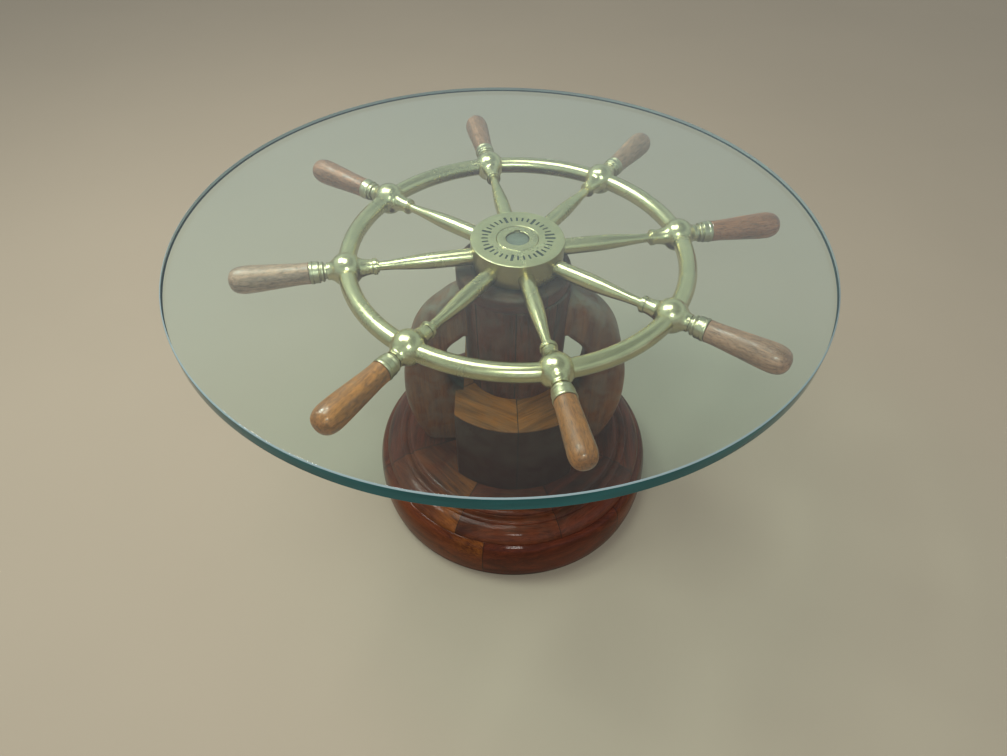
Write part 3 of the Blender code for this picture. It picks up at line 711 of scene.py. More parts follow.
def grip_finish(name, angle, pale, dark, varnish):
    """Hand worn wood of one grip, its grain along the handle."""
    material, w, shader = new_finish(name)
    turned_place = {"Vector": w.place(), "Location": (0.0, 0.0, -RIM_Z), "Rotation": (0.0, 0.0, -angle)}
    place = w.add("ShaderNodeMapping", turned_place).outputs[0]
    grain = w.group("wood grain", {"Vector": place, "Pale": rgba(pale), "Dark": rgba(dark), "Pores": 0.7})
    worn = w.band(w.noise(place, scale=55.0, detail=6.0, distortion=0.6), 0.42, 0.66)
    flecks = w.streaks(place, along=110.0, across=330.0, detail=4.0, distortion=0.4)
    scuffs = w.band(w.streaks(place, along=60.0, across=260.0, detail=3.0), 0.62, 0.72)
    tone = w.stain(w.times(worn, 0.45), grain["Color"], (1.25, 1.3, 1.4))
    tone = w.stain(w.band(flecks, 0.50, 0.62, to_high=0.6), tone, (0.50, 0.46, 0.42))
    tone = w.stain(w.band(flecks, 0.36, 0.48, to_low=0.45, to_high=0.0), tone, (1.3, 1.32, 1.35))
    tone = w.stain(w.times(scuffs, 0.35), tone, (0.45, 0.42, 0.4))
    shade(
        w, shader,
        Base_Color=tone,
        Roughness=w.plus(grain["Roughness"], w.times(worn, 0.16)),
        Coat_Weight=w.times(w.minus(1.0, worn), varnish),
        Coat_Roughness=0.16,
        Normal=w.bump(grain["Height"], 0.25, WOOD_RELIEF),
    )
    return material


def ring_finish(
    name, pedestal, count, turn, seed, upright=False, dust=0.0, painted_light_ledge_z=None, gloss=1.0, relief=0.2
):
    """Varnished wood glued up in segments, dusty where it stands under the glass; on the drum, painted
    light on the top ledge and painted shade on the wall below.
    """
    material, w, shader = new_finish(name)
    ring = w.group("ring of segments", {"Count": count, "Turn": turn, "Line": JOINT_LINE, "Seed": seed})
    red, orange, dark = rgba(pedestal.red_wood), rgba(pedestal.orange_wood), rgba(pedestal.dark_wood)
    z = w.split(w.place())[2]
    pale = w.mix(w.band(ring["Tone"], 0.2, 1.0, to_high=0.15), red, orange)
    ragged = w.noise(w.place(), scale=30.0, detail=4.0, distortion=0.8)
    ragged = w.plus(ring["End"], w.times(ragged, 0.08))
    at_end = w.band(ragged, 0.05, 0.11, to_low=0.55, to_high=0.0)
    sapwood = w.times(w.band(ring["Tone"], 0.8, 0.94), at_end)
    on_shoulder = w.band(z, 0.55 * FOOT_HIGH.z, 0.85 * FOOT_HIGH.z)
    pale = w.mix(w.times(sapwood, on_shoulder), pale, orange)
    # Painted light and shade on the drum: the top ledge is painted orange as if lit, the wall below it
    # dark as if shaded
    if painted_light_ledge_z is not None:
        painted_light_on_ledge = w.band(z, *(painted_light_ledge_z - below for below in PAINTED_LEDGE_FADE))
        pale = w.mix(painted_light_on_ledge, dark, orange)
        dark = w.mix(painted_light_on_ledge, dark, rgba(weighted(pedestal.orange_wood, 0.35)))
    deep = w.mix(w.band(ring["Tone"], 0.0, 0.6, to_low=0.25, to_high=0.0), dark, rgba(DEEPEST_GRAIN))
    vector = ring["Upright"] if upright else ring["Round"]
    grain = w.group("wood grain", {"Vector": vector, "Pale": pale, "Dark": deep, "Pores": 3.0 * relief})
    # Darker in a narrow band just above the floor, and along the glue joints
    dark_at_floor = w.band(z, *FLOOR_DARK_BAND, to_low=0.8, to_high=0.0)
    joints_and_floor_band = w.math("MAXIMUM", dark_at_floor, w.times(ring["Joint"], 0.85))
    film = dusty(w, grain, w.mix(joints_and_floor_band, grain["Color"], rgba(DARK_LINE_TONE)), pedestal.dust, dust)
    height = w.minus(grain["Height"], w.times(ring["Joint"], 1.5))
    shade(
        w, shader, Base_Color=film["Color"], Roughness=film["Roughness"], Specular_IOR_Level=0.05,
        Coat_Weight=0.45 * gloss, Coat_Roughness=0.08, Coat_IOR=1.33,
        Normal=w.bump(height, relief, WOOD_RELIEF),
    )
    return material


def arm_finish(name, pedestal):
    """Dusty varnished wood of the side arms, its grain upright."""
    material, w, shader = new_finish(name)
    x, y, z = w.split(w.place())
    pale = between(pedestal.red_wood, pedestal.orange_wood, 0.45)
    dark = between(pedestal.dark_wood, pedestal.red_wood, 0.6)
    upright = {"Vector": w.join(z, x, y), "Pale": rgba(pale), "Dark": rgba(dark), "Pores": 0.3}
    grain = w.group("wood grain", upright)
    film = dusty(w, grain, grain["Color"], weighted(pedestal.dust, 1.35), 0.9)
    shade(
        w, shader, Base_Color=film["Color"], Roughness=film["Roughness"], Specular_IOR_Level=0.05,
        Coat_Weight=0.35, Coat_Roughness=0.14, Normal=w.bump(grain["Height"], 0.22, WOOD_RELIEF),
    )
    return material


def glass_finish(glass):
    """Thick plate glass: clear through its faces and blue green along its depth."""
    material, w, shader = new_finish("plate glass")
    shade(w, shader, Base_Color=rgba(WHITE), Roughness=0.0, IOR=1.5, Transmission_Weight=1.0)
    clear = w.add("ShaderNodeBsdfTransparent").outputs[0]
    path = w.add("ShaderNodeLightPath").outputs
    surface = shader.outputs[0]
    for ray in ("Is Shadow Ray", "Is Diffuse Ray"):
        surface = w.add("ShaderNodeMixShader", {0: path[ray], 1: surface, 2: clear}).outputs[0]
    depth = w.add("ShaderNodeVolumeAbsorption", {"Color": rgba(glass.tint), "Density": glass.depth})
    ends = material.node_tree.nodes["Material Output"].inputs
    w.feed(ends["Surface"], surface)
    w.feed(ends["Volume"], depth.outputs[0])
    return material


def rim_finish(glass, low, high):
    """Rim of the disc: deep blue green between two ground edges; seen from inside the glass, a painted
    pale grey reflection over a painted dark shade line.
    """
    material, w, shader = new_finish("glass rim")
    place = w.place()
    z = w.split(place)[2]
    to_face = w.math("MINIMUM", w.minus(z, low), w.minus(high, z))
    ground = w.band(to_face, 0.8 * glass.arris, glass.arris, to_low=1.0, to_high=0.0)
    streak = w.noise(w.scaled(place, (9.0, 9.0, 60.0)), scale=1.0, detail=4.0)
    deep = w.mix(w.band(streak, 0.3, 0.7), rgba(weighted(glass.edge, 0.7)), rgba(glass.edge))
    outer = w.mix(ground, deep, rgba(glass.ground))
    # Painted reflection and shade: the rim seen from inside the glass is pale grey, with a dark line at
    # its foot
    line_top = low + 0.28 * (high - low)
    inner = w.band(z, line_top - glass.arris, line_top)
    inner = w.mix(inner, rgba(glass.painted_shade_line), rgba(glass.inner))
    from_inside = w.add("ShaderNodeNewGeometry").outputs["Backfacing"]
    frost = w.times(w.noise(place, scale=900.0, detail=2.0), ground)
    shade(
        w, shader,
        Base_Color=w.mix(from_inside, outer, inner),
        Roughness=w.plus(w.times(ground, 0.35), 0.06),
        Specular_IOR_Level=0.2,
        Normal=w.bump(frost, 0.2, GLASS_RELIEF),
    )
    return material


def new_shape_tree(name, sizes, counts=()):
    """Geometry node tree that takes a shape, named sizes and a material."""
    inputs = {"Geometry": SHAPE, **dict.fromkeys(counts, COUNT), **dict.fromkeys(sizes, NUMBER)}
    return new_tree("GeometryNodeTree", name, {**inputs, "Material": MATERIAL}, {"Geometry": SHAPE})


def close_tree(w, geometry, material, out):
    """End of every tree: real geometry with its material."""
    real = w.add("GeometryNodeRealizeInstances", {"Geometry": geometry})
    painted = w.add("GeometryNodeSetMaterial", {"Geometry": real.outputs[0], "Material": material})
    w.feed(out["Geometry"], painted.outputs[0])


def grown(tree, mesh, values):
    """Plain mesh that a tree makes from a mesh and its input values."""
    blank = scratch_object(mesh)
    modifier = blank.modifiers.new("nodes", "NODES")
    modifier.node_group = tree
    for item in tree.interface.items_tree:
        if item.in_out == "INPUT" and item.name in values:
            modifier[item.identifier] = values[item.name]
    result = taken_off(blank)
    soften(result)
    return result


def tube_tree():
    """Tree of one rim tube: an arc with a round section."""
    w, given, out = new_shape_tree("rim tube", ("Rim Radius", "Tube Radius", "Height", "Start", "Sweep"))
    bend = {"Radius": given["Rim Radius"], "Start Angle": given["Start"], "Sweep Angle": given["Sweep"]}
    arc = w.add("GeometryNodeCurveArc", {"Resolution": 48, **bend}).outputs["Curve"]
    section = {"Resolution": 40, "Radius": given["Tube Radius"]}
    section = w.add("GeometryNodeCurvePrimitiveCircle", section).outputs["Curve"]
    sweep = {"Curve": arc, "Profile Curve": section, "Fill Caps": True}
    tube = w.add("GeometryNodeCurveToMesh", sweep).outputs[0]
    lift = {"Geometry": tube, "Translation": w.join(0.0, 0.0, given["Height"])}
    close_tree(w, w.add("GeometryNodeTransform", lift).outputs[0], given["Material"], out)
    return w.tree


def tick_tree():
    """Tree of the hub face: marks set round a circle are cut out of the turned blank."""
    sizes = ("Ring Radius", "Length", "Width", "Depth", "Face", "Turn")
    w, given, out = new_shape_tree("hub marks", sizes, counts=("Count",))
    circle = w.add("GeometryNodeMeshCircle", {"Vertices": given["Count"], "Radius": given["Ring Radius"]})
    size = w.join(given["Length"], given["Width"], w.times(given["Depth"], 2.0))
    mark = w.add("GeometryNodeMeshCube", {"Size": size})
    outward = {"Vector": w.add("GeometryNodeInputPosition").outputs[0]}
    facing = w.add("FunctionNodeAlignRotationToVector", outward, axis="X")
    index = w.add("GeometryNodeInputIndex").outputs[0]
    fifth = w.math("COMPARE", w.math("MODULO", index, 5.0), 0.0)
    longer = w.math("MULTIPLY_ADD", fifth, 0.45, 0.75)
    wider = w.math("MULTIPLY_ADD", fifth, 0.5, 1.0)
    marks = w.add(
        "GeometryNodeInstanceOnPoints",
        {
            "Points": circle.outputs["Mesh"],
            "Instance": mark.outputs["Mesh"],
            "Rotation": facing.outputs[0],
            "Scale": w.join(longer, wider, 1.0),
        },
    )
    placed = w.add(
        "GeometryNodeTransform",
        {
            "Geometry": w.add("GeometryNodeRealizeInstances", {"Geometry": marks.outputs[0]}).outputs[0],
            "Translation": w.join(0.0, 0.0, given["Face"]),
            "Rotation": w.join(0.0, 0.0, given["Turn"]),
        },
    )
    cut = w.add("GeometryNodeMeshBoolean", operation="DIFFERENCE", solver="EXACT")
    w.feed(cut.inputs["Mesh 1"], given["Geometry"])
    w.feed(cut.inputs["Mesh 2"], placed.outputs[0])
    close_tree(w, cut.outputs["Mesh"], given["Material"], out)
    return w.tree


def settings():
    """The table's settings."""
    return bpy.context.scene.wheel_table


def brass():
    """Brass of spokes, rim and sleeve, made once."""
    wheel = settings().wheel
    name = "worn brass"
    return bpy.data.materials.get(name) or metal_finish(name, wheel.brass, wheel.tarnish, 0.7)


def steel():
    """Steel of spindle, key, washer and bolt, made once."""
    tone = settings().wheel.steel
    name = "dull steel"
    return bpy.data.materials.get(name) or metal_finish(name, tone, weighted(tone, 0.5), 0.8)


class WHEELTABLE_OT_stage(bpy.types.Operator):
    """Pale floor, soft lamps and the camera"""

    bl_idname = "wheel_table.stage"
    bl_label = "Stage"

    FLOOR_HALF = 14.0
    FLOOR_TONE = (0.47, 0.415, 0.305)
    FLOOR_WORN = 0.93
    WALL_TONE = (0.62, 0.63, 0.66)
    CEILING_TONE = (0.26, 0.265, 0.27)
    WALL_TOP = 0.58
    CEILING_START = 0.78
    LAMP_TONE = (1.0, 0.97, 0.92)
    # Name, place, width and height, power in watts
    LAMPS = (
        ("left softbox", (-1.25, 0.45, 2.30), (0.8, 0.6), 23.0),
        ("top softbox", (-0.42, 0.15, 2.60), (0.9, 0.8), 16.5),
        ("camera lamp", (0.02, -0.95, 1.30), (0.20, 0.12), 2.4),
    )
    AIM = Vector((0.0, 0.0, 0.30))

    def execute(self, context):
        scene = context.scene
        scene.view_settings.view_transform = "Standard"
        self.floor(scene)
        self.world(scene)
        for name, place, size, power in self.LAMPS:
            self.lamp(scene, name, Vector(place), size, power)
        self.camera(scene)
        return {"FINISHED"}

    def floor(self, scene):
        """Wide plain floor."""
        half = self.FLOOR_HALF
        mesh = bpy.data.meshes.new("floor")
        corners = [(-half, -half, 0.0), (half, -half, 0.0), (half, half, 0.0), (-half, half, 0.0)]
        mesh.from_pydata(corners, [], [(0, 1, 2, 3)])
        material, w, shader = new_finish("pale floor")
        cloud = w.noise(w.place(), scale=2.2, detail=5.0)
        worn = weighted(self.FLOOR_TONE, self.FLOOR_WORN)
        shade(w, shader, Base_Color=w.mix(cloud, rgba(worn), rgba(self.FLOOR_TONE)), Roughness=0.85)
        mesh.materials.append(material)
        floor = bpy.data.objects.new("floor", mesh)
        scene.collection.objects.link(floor)

    def world(self, scene):
        """Pale walls all round under a darker ceiling."""
        world = bpy.data.worlds.new("studio")
        world.use_nodes = True
        w = Wiring(world.node_tree)
        up = w.split(w.add("ShaderNodeTexCoord").outputs["Generated"])[2]
        ceiling = w.band(up, self.WALL_TOP, self.CEILING_START)
        tone = w.mix(ceiling, rgba(self.WALL_TONE), rgba(self.CEILING_TONE))
        w.feed(world.node_tree.nodes["Background"].inputs["Color"], tone)
        scene.world = world

    def lamp(self, scene, name, place, size, power):
        """Soft lamp that looks at the table."""
        data = bpy.data.lights.new(name, "AREA")
        data.shape = "RECTANGLE"
        data.size, data.size_y = size
        data.energy = power
        data.color = self.LAMP_TONE
        lamp = bpy.data.objects.new(name, data)
        turn = (place - self.AIM).to_track_quat("Z", "Y").to_matrix().to_4x4()
        lamp.matrix_world = Matrix.Translation(place) @ turn
        scene.collection.objects.link(lamp)

    def camera(self, scene):
        """Camera at the photograph's angle."""
        level = math.cos(CAMERA_PITCH)
        across, along = math.sin(CAMERA_YAW), math.cos(CAMERA_YAW)
        ahead = Vector((across * level, along * level, -math.sin(CAMERA_PITCH)))
        right = Vector((along, -across, 0.0))
        up = right.cross(ahead)
        side = right * math.cos(CAMERA_ROLL) + up * math.sin(CAMERA_ROLL)
        top = up * math.cos(CAMERA_ROLL) - right * math.sin(CAMERA_ROLL)
        data = bpy.data.cameras.new("camera")
        data.sensor_width = CAMERA_SENSOR
        data.lens = CAMERA_LENS
        camera = bpy.data.objects.new("camera", data)
        turn = Matrix((side, top, -ahead)).transposed().to_4x4()
        camera.matrix_world = Matrix.Translation(CAMERA_PLACE) @ turn
        scene.collection.objects.link(camera)
        scene.camera = camera


class WHEELTABLE_OT_glass(bpy.types.Operator):
    """Glass disc that lies on the balls of the wheel"""

    bl_idname = "wheel_table.glass"
    bl_label = "Glass Top"

    STEPS = 256
    FACE_TILT = 0.995
    EASE_SHARE = 0.25

    def execute(self, context):
        glass = settings().glass
        radius, arris = glass.radius, glass.arris
        low, high = GLASS_LOW.z, GLASS_HIGH.z
        ease = self.EASE_SHARE * arris
        outline = rounded([
            (0.0, high, 0.0),
            (radius - arris, high, ease),
            (radius, high - arris, ease),
            (radius, low + arris, ease),
            (radius - arris, low, ease),
            (0.0, low, 0.0),
        ])
        mesh = turned(outline, self.STEPS)
        middle = (GLASS_LOW + GLASS_HIGH) / 2.0
        mesh.transform(Matrix.Translation((middle.x, middle.y, 0.0)))
        mesh.materials.append(glass_finish(glass))
        mesh.materials.append(rim_finish(glass, low, high))
        for face in mesh.polygons:
            on_rim = abs(face.normal.z) < self.FACE_TILT
            face.material_index = int(on_rim)
            face.use_smooth = on_rim
        add_piece("plate_glass_disc", mesh, None, "glass", "glass", "glass_top")
        return {"FINISHED"}


class WHEELTABLE_OT_hub(bpy.types.Operator):
    """Hub with its cut marks, sleeve, spindle and key"""

    bl_idname = "wheel_table.hub"
    bl_label = "Hub"

    STEPS = 160
    HUB_BORE_EDGE = 0.0008
    SLEEVE_BORE_EDGE = 0.0006
    SLEEVE_EDGE = 0.0012
    SPINDLE_EDGE = 0.0011
    SPINDLE_FOOT_EDGE = 0.0010
    KEY_EDGE = 0.0005
    EASE = 0.0004
    FINE_EASE = 0.0003

    def execute(self, context):
        self.hub(settings().wheel)
        play = Vector((GAP, GAP, GAP))
        slot_high = KEY_HIGH + play
        slot_high.z = GLASS_HIGH.z
        slot = block(KEY_LOW - play, slot_high)
        self.sleeve(slot.copy())
        self.spindle(slot)
        key = block(KEY_LOW, KEY_HIGH, self.KEY_EDGE)
        add_piece("steel_key", key, steel(), "wheel", "steel", "spindle_key")
        return {"FINISHED"}

    def hub(self, wheel):
        """Turned hub with its marks cut in."""
        bore, edge = SLEEVE_HIGH.x + GAP, self.HUB_BORE_EDGE
        high, low = HUB_HIGH.z, HUB_LOW.z
        outline = rounded([
            (bore, high - edge, 0.0),
            (bore + edge, high, self.FINE_EASE),
            (wheel.hub_radius, high, wheel.hub_round),
            (wheel.hub_radius, low, 0.5 * wheel.hub_round),
            (bore, low, 0.0),
        ])
        finish = hub_finish(wheel)
        values = {
            "Count": wheel.tick_count,
            "Ring Radius": wheel.tick_radius,
            "Length": wheel.tick_length,
            "Width": wheel.tick_width,
            "Depth": wheel.tick_depth,
            "Face": high,
            "Turn": SPOKE_START,
            "Material": finish,
        }
        mesh = grown(tick_tree(), turned(outline, self.STEPS, closed=True), values)
        add_piece("brass_hub", mesh, finish, "wheel", "brass", "wheel_hub")

    def sleeve(self, slot):
        """Ring between hub and spindle, with half of the key's slot."""
        bore, reach = SPINDLE_HIGH.x + GAP, SLEEVE_HIGH.x
        high, low = SLEEVE_HIGH.z, SLEEVE_LOW.z
        outline = rounded([
            (bore, high - self.SLEEVE_BORE_EDGE, 0.0),
            (bore + self.SLEEVE_BORE_EDGE, high, self.FINE_EASE),
            (reach - self.SLEEVE_EDGE, high, self.EASE),
            (reach, high - self.SLEEVE_EDGE, self.FINE_EASE),
            (reach, low, 0.0),
            (bore, low, 0.0),
        ])
        mesh = carved(turned(outline, self.STEPS, closed=True), slot)
        add_piece("brass_sleeve", mesh, brass(), "wheel", "brass", "hub_sleeve")

    def spindle(self, slot):
        """Shaft with the other half of the key's slot."""
        radius, top, foot = SPINDLE_HIGH.x, SPINDLE_HIGH.z, SPINDLE_LOW.z
        outline = rounded([
            (0.0, top, 0.0),
            (radius - self.SPINDLE_EDGE, top, self.EASE),
            (radius, top - self.SPINDLE_EDGE, self.EASE),
            (radius, foot + self.SPINDLE_FOOT_EDGE, self.EASE),
            (radius - self.SPINDLE_FOOT_EDGE, foot, self.EASE),
            (0.0, foot, 0.0),
        ])
        mesh = carved(turned(outline, self.STEPS), slot)
        add_piece("steel_spindle", mesh, steel(), "wheel", "steel", "wheel_spindle")


class WHEELTABLE_OT_bearing(bpy.types.Operator):
    """Washer and bush that the spindle turns in"""

    bl_idname = "wheel_table.bearing"
    bl_label = "Bearing"

    STEPS = 96
    EASE = 0.0004
    FLANGE = 0.0027
    BARREL = 0.0230

    def execute(self, context):
        bore, ease = SPINDLE_HIGH.x + GAP, self.EASE
        reach, high, low = WASHER_HIGH.x, WASHER_HIGH.z, WASHER_LOW.z
        washer = rounded([(bore, high, 0.0), (reach, high, ease), (reach, low, ease), (bore, low, 0.0)])
        mesh = turned(washer, self.STEPS, closed=True)
        add_piece("steel_washer", mesh, steel(), "pedestal", "steel", "thrust_washer")
        reach, high, low = BUSH_HIGH.x, BUSH_HIGH.z, BUSH_LOW.z
        bush = rounded([
            (bore, high, 0.0),
            (reach, high, ease),
            (reach, high - self.FLANGE, ease),
            (self.BARREL, high - self.FLANGE, 0.0),
            (self.BARREL, low, ease),
            (bore, low, 0.0),
        ])
        tone = settings().wheel.bronze
        bronze = metal_finish("oiled bronze", tone, weighted(tone, 0.5), 0.6)
        mesh = turned(bush, self.STEPS, closed=True)
        add_piece("bronze_bush", mesh, bronze, "pedestal", "bronze", "spindle_bush")
        return {"FINISHED"}


class WHEELTABLE_OT_spokes(bpy.types.Operator):
    """Eight turned spokes"""

    bl_idname = "wheel_table.spokes"
    bl_label = "Spokes"

    STEPS = 48
    END = 0.2052
    IN_HUB = 0.0553
    COLLAR_RADIUS = 0.0116
    COLLAR_LENGTH = 0.0060
    STEP_SHARE = 0.4
    SPIGOT_RADIUS = 0.0050
    SPIGOT_LENGTH = 0.0100
    EASE = 0.0012
    FRONT_EASE = 0.0009
    FINE_EASE = 0.0005
    # Share of the way out, share of the widening towards the hub
    TAPER = ((0.985, 0.02), (0.85, 0.15), (0.68, 0.53), (0.46, 0.91), (0.2, 0.98), (0.0, 1.0))

    def execute(self, context):
        outline = self.outline(settings().wheel)
        for index, angle in enumerate(SPOKE_ANGLES, start=1):
            mesh = on_spoke(outline, self.STEPS, angle)
            add_piece(f"brass_spoke_{index}", mesh, brass(), "wheel", "brass", f"spoke_{index}")
        return {"FINISHED"}

    def outline(self, wheel):
        """Spigot, collar and taper of a spoke, from its outer end in."""
        end, collar, tip = self.END, self.COLLAR_RADIUS, wheel.spoke_tip
        spigot, spigot_end = self.SPIGOT_RADIUS, end + self.SPIGOT_LENGTH
        collar_start = end - self.COLLAR_LENGTH
        step_start = collar_start - self.STEP_SHARE * self.COLLAR_LENGTH
        step_radius = (tip + collar) / 2.0
        head = rounded([
            (0.0, spigot_end, 0.0),
            (spigot, spigot_end, self.FINE_EASE),
            (spigot, end, 0.0),
            (collar, end, self.FRONT_EASE),
            (collar, collar_start, self.EASE),
            (step_radius, collar_start, self.FINE_EASE),
            (step_radius, step_start, self.EASE),
            (tip, step_start, 0.0),
        ])
        run, widening = step_start - wheel.hub_radius, wheel.spoke_root - tip
        shaft = [(tip + share * widening, wheel.hub_radius + place * run) for place, share in self.TAPER]
        return head + flowing(shaft) + points([(wheel.spoke_root, self.IN_HUB), (0.0, self.IN_HUB)])


class WHEELTABLE_OT_rim(bpy.types.Operator):
    """Eight balls and the eight tubes between them"""

    bl_idname = "wheel_table.rim"
    bl_label = "Rim"

    STEPS = 64
    ARC_STEPS = 26
    ARC_OUT = math.radians(51.0)
    ARC_IN = math.radians(-38.0)
    IN_LENGTH = 0.0360
    IN_RADIUS = 0.0104
    IN_EDGE = 0.0004
    OUT_LENGTH = 0.0270
    OUT_RADIUS = 0.0122
    OUT_EASE = 0.0008
    THROAT_EASE = 0.0012
    BURIED = 0.0012
    # Share of the inner neck's radius, share of its length
    NECK = ((1.33, 0.53), (1.14, 0.69), (1.02, 0.88))

    def execute(self, context):
        wheel = settings().wheel
        side = math.sqrt(wheel.ball_radius**2 - wheel.tube_radius**2)
        margin = math.asin((side - self.BURIED) / wheel.rim_radius)
        values = {
            "Rim Radius": wheel.rim_radius,
            "Tube Radius": wheel.tube_radius,
            "Height": RIM_Z,
            "Sweep": FULL_TURN / SPOKE_COUNT - 2.0 * margin,
            "Material": brass(),
        }
        tree = tube_tree()
        outline = self.outline(wheel)
        for index, angle in enumerate(SPOKE_ANGLES, start=1):
            ball = on_spoke(outline, self.STEPS, angle)
            add_piece(f"brass_ball_{index}", ball, brass(), "wheel", "brass", f"rim_ball_{index}")
            tube = grown(tree, bpy.data.meshes.new("tube"), {**values, "Start": angle + margin})
            add_piece(f"brass_tube_{index}", tube, brass(), "wheel", "brass", f"rim_arc_{index}")
        return {"FINISHED"}

    def outline(self, wheel):
        """Outer neck, ball and inner neck of a socket, from its outer end in."""
        middle, radius = wheel.rim_radius, wheel.ball_radius
        out_end, in_end = middle + self.OUT_LENGTH, middle - self.IN_LENGTH
        arc = []
        for step in range(self.ARC_STEPS + 1):
            turn = self.ARC_OUT + (self.ARC_IN - self.ARC_OUT) * step / self.ARC_STEPS
            arc.append((radius * math.cos(turn), middle + radius * math.sin(turn)))
        throat = (arc[0][1] + out_end) / 2.0
        outer = rounded([
            (0.0, out_end, 0.0),
            (self.OUT_RADIUS, out_end, self.OUT_EASE),
            (self.OUT_RADIUS, throat, self.THROAT_EASE),
            (*arc[0], 0.0),
        ])
        neck = [(wide * self.IN_RADIUS, middle - along * self.IN_LENGTH) for wide, along in self.NECK]
        neck = flowing([arc[-1]] + neck + [(self.IN_RADIUS, in_end + self.IN_EDGE)])
        close = points([(self.IN_RADIUS - self.IN_EDGE, in_end), (0.0, in_end)])
        return outer + points(arc[1:-1]) + neck + close


class WHEELTABLE_OT_handles(bpy.types.Operator):
    """Eight handles: a brass ferrule and a wooden grip each"""

    bl_idname = "wheel_table.handles"
    bl_label = "Handles"

    STEPS = 64
    START = 0.2688
    NECK_RADIUS = 0.0105
    NECK_SHARE = 0.12
    NECK_EASE = 0.0006
    NECK_EDGE = 0.0004
    TANG_RADIUS = 0.0040
    TANG_START = 0.2535
    TANG_END = 0.3466
    ROOT_RADIUS = 0.0149
    ROOT_EDGE = 0.0010
    FERRULE_DULL = 0.6
    GRAIN_DARK = 0.42
    # Share of the ferrule's radius, share of its length, rounding
    BEADS = (
        (0.97, 1.0, 0.0), (1.0, 0.95, 0.0005), (1.0, 0.83, 0.0006),
        (0.95, 0.78, 0.0005), (0.96, 0.44, 0.0009), (0.80, 0.40, 0.0006),
        (0.80, 0.34, 0.0006), (0.90, 0.28, 0.0012), (0.88, 0.16, 0.0012),
    )
    # Share of the grip's length, share of its radius
    GRIP = (
        (0.998, 0.17), (0.993, 0.34), (0.965, 0.66), (0.92, 0.86),
        (0.86, 0.965), (0.79, 1.0), (0.66, 0.98),
    )
    # Share of the grip's length, share of its swell above the root
    WAIST = ((0.4, 0.45), (0.12, 0.0), (0.012, 0.0))

    def execute(self, context):
        handles = settings().handles
        looks = self.looks(handles)
        dull = weighted(handles.ferrule_brass, self.FERRULE_DULL)
        weathered = metal_finish("ferrule brass", handles.ferrule_brass, dull, 0.8, satin=0.27)
        for index, angle in enumerate(SPOKE_ANGLES, start=1):
            ferrule = on_spoke(self.ferrule(handles), self.STEPS, angle)
            name, node = f"brass_ferrule_{index}", f"handle_ferrule_{index}"
            add_piece(name, ferrule, weathered, "wheel", "brass", node)
            small = index == SMALL_GRIP
            reach = handles.small_length if small else handles.grip_length
            radius = handles.small_radius if small else handles.grip_radius
            tone, varnish = looks[index - 1]
            finish = grip_finish(f"grip wood {index}", angle, tone, tone * self.GRAIN_DARK, varnish)
            grip = on_spoke(self.grip(handles, reach, radius), self.STEPS, angle)
            add_piece(f"wood_grip_{index}", grip, finish, "wheel", "grip_wood", f"handle_grip_{index}")
        return {"FINISHED"}

    def looks(self, handles):
        """Wood tone and share of varnish left on each grip."""
        grey, brown = Vector(handles.grey_wood), Vector(handles.brown_wood)
        orange, bleached = Vector(handles.orange_wood), Vector(handles.pale_wood)
        return (
            (brown.lerp(grey, 0.15), 0.25),
            (grey, 0.2),
            (grey.lerp(brown, 0.45), 0.2),
            (grey.lerp(brown, 0.6), 0.3),
            (bleached, 0.4),
            (orange.lerp(brown, 0.3), 0.7),
            (brown.lerp(orange, 0.6) * 0.8, 0.4),
            (grey.lerp(brown, 0.25), 0.4),
        )

    def ferrule(self, handles):
        """Tang, beads and neck of a ferrule, from its outer end in."""
        start, reach, radius = self.START, handles.ferrule_length, handles.ferrule_radius
        tang, neck = self.TANG_RADIUS, self.NECK_RADIUS
        corners = [(0.0, self.TANG_END, 0.0), (tang, self.TANG_END, 0.0), (tang, start + reach, 0.0)]
        corners += [(share * radius, start + place * reach, ease) for share, place, ease in self.BEADS]
        corners += [
            (neck, start + self.NECK_SHARE * reach, self.NECK_EASE),
            (neck, start, self.NECK_EDGE),
            (tang, start, 0.0),
            (tang, self.TANG_START, 0.0),
            (0.0, self.TANG_START, 0.0),
        ]
        return rounded(corners)

    def grip(self, handles, reach, radius):
        """Swell, waist and bore of a grip, from its outer end in."""
        start = self.START + handles.ferrule_length + GAP
        root, swell = self.ROOT_RADIUS, radius - self.ROOT_RADIUS
        places = [(0.0, start + reach)]
        places += [(share * radius, start + place * reach) for place, share in self.GRIP]
        places += [(root + share * swell, start + place * reach) for place, share in self.WAIST]
        hole, bottom = self.TANG_RADIUS + GAP, self.TANG_END + GAP
        bore = [(root - self.ROOT_EDGE, start), (hole, start), (hole, bottom), (0.0, bottom)]
        return flowing(places) + points(bore)


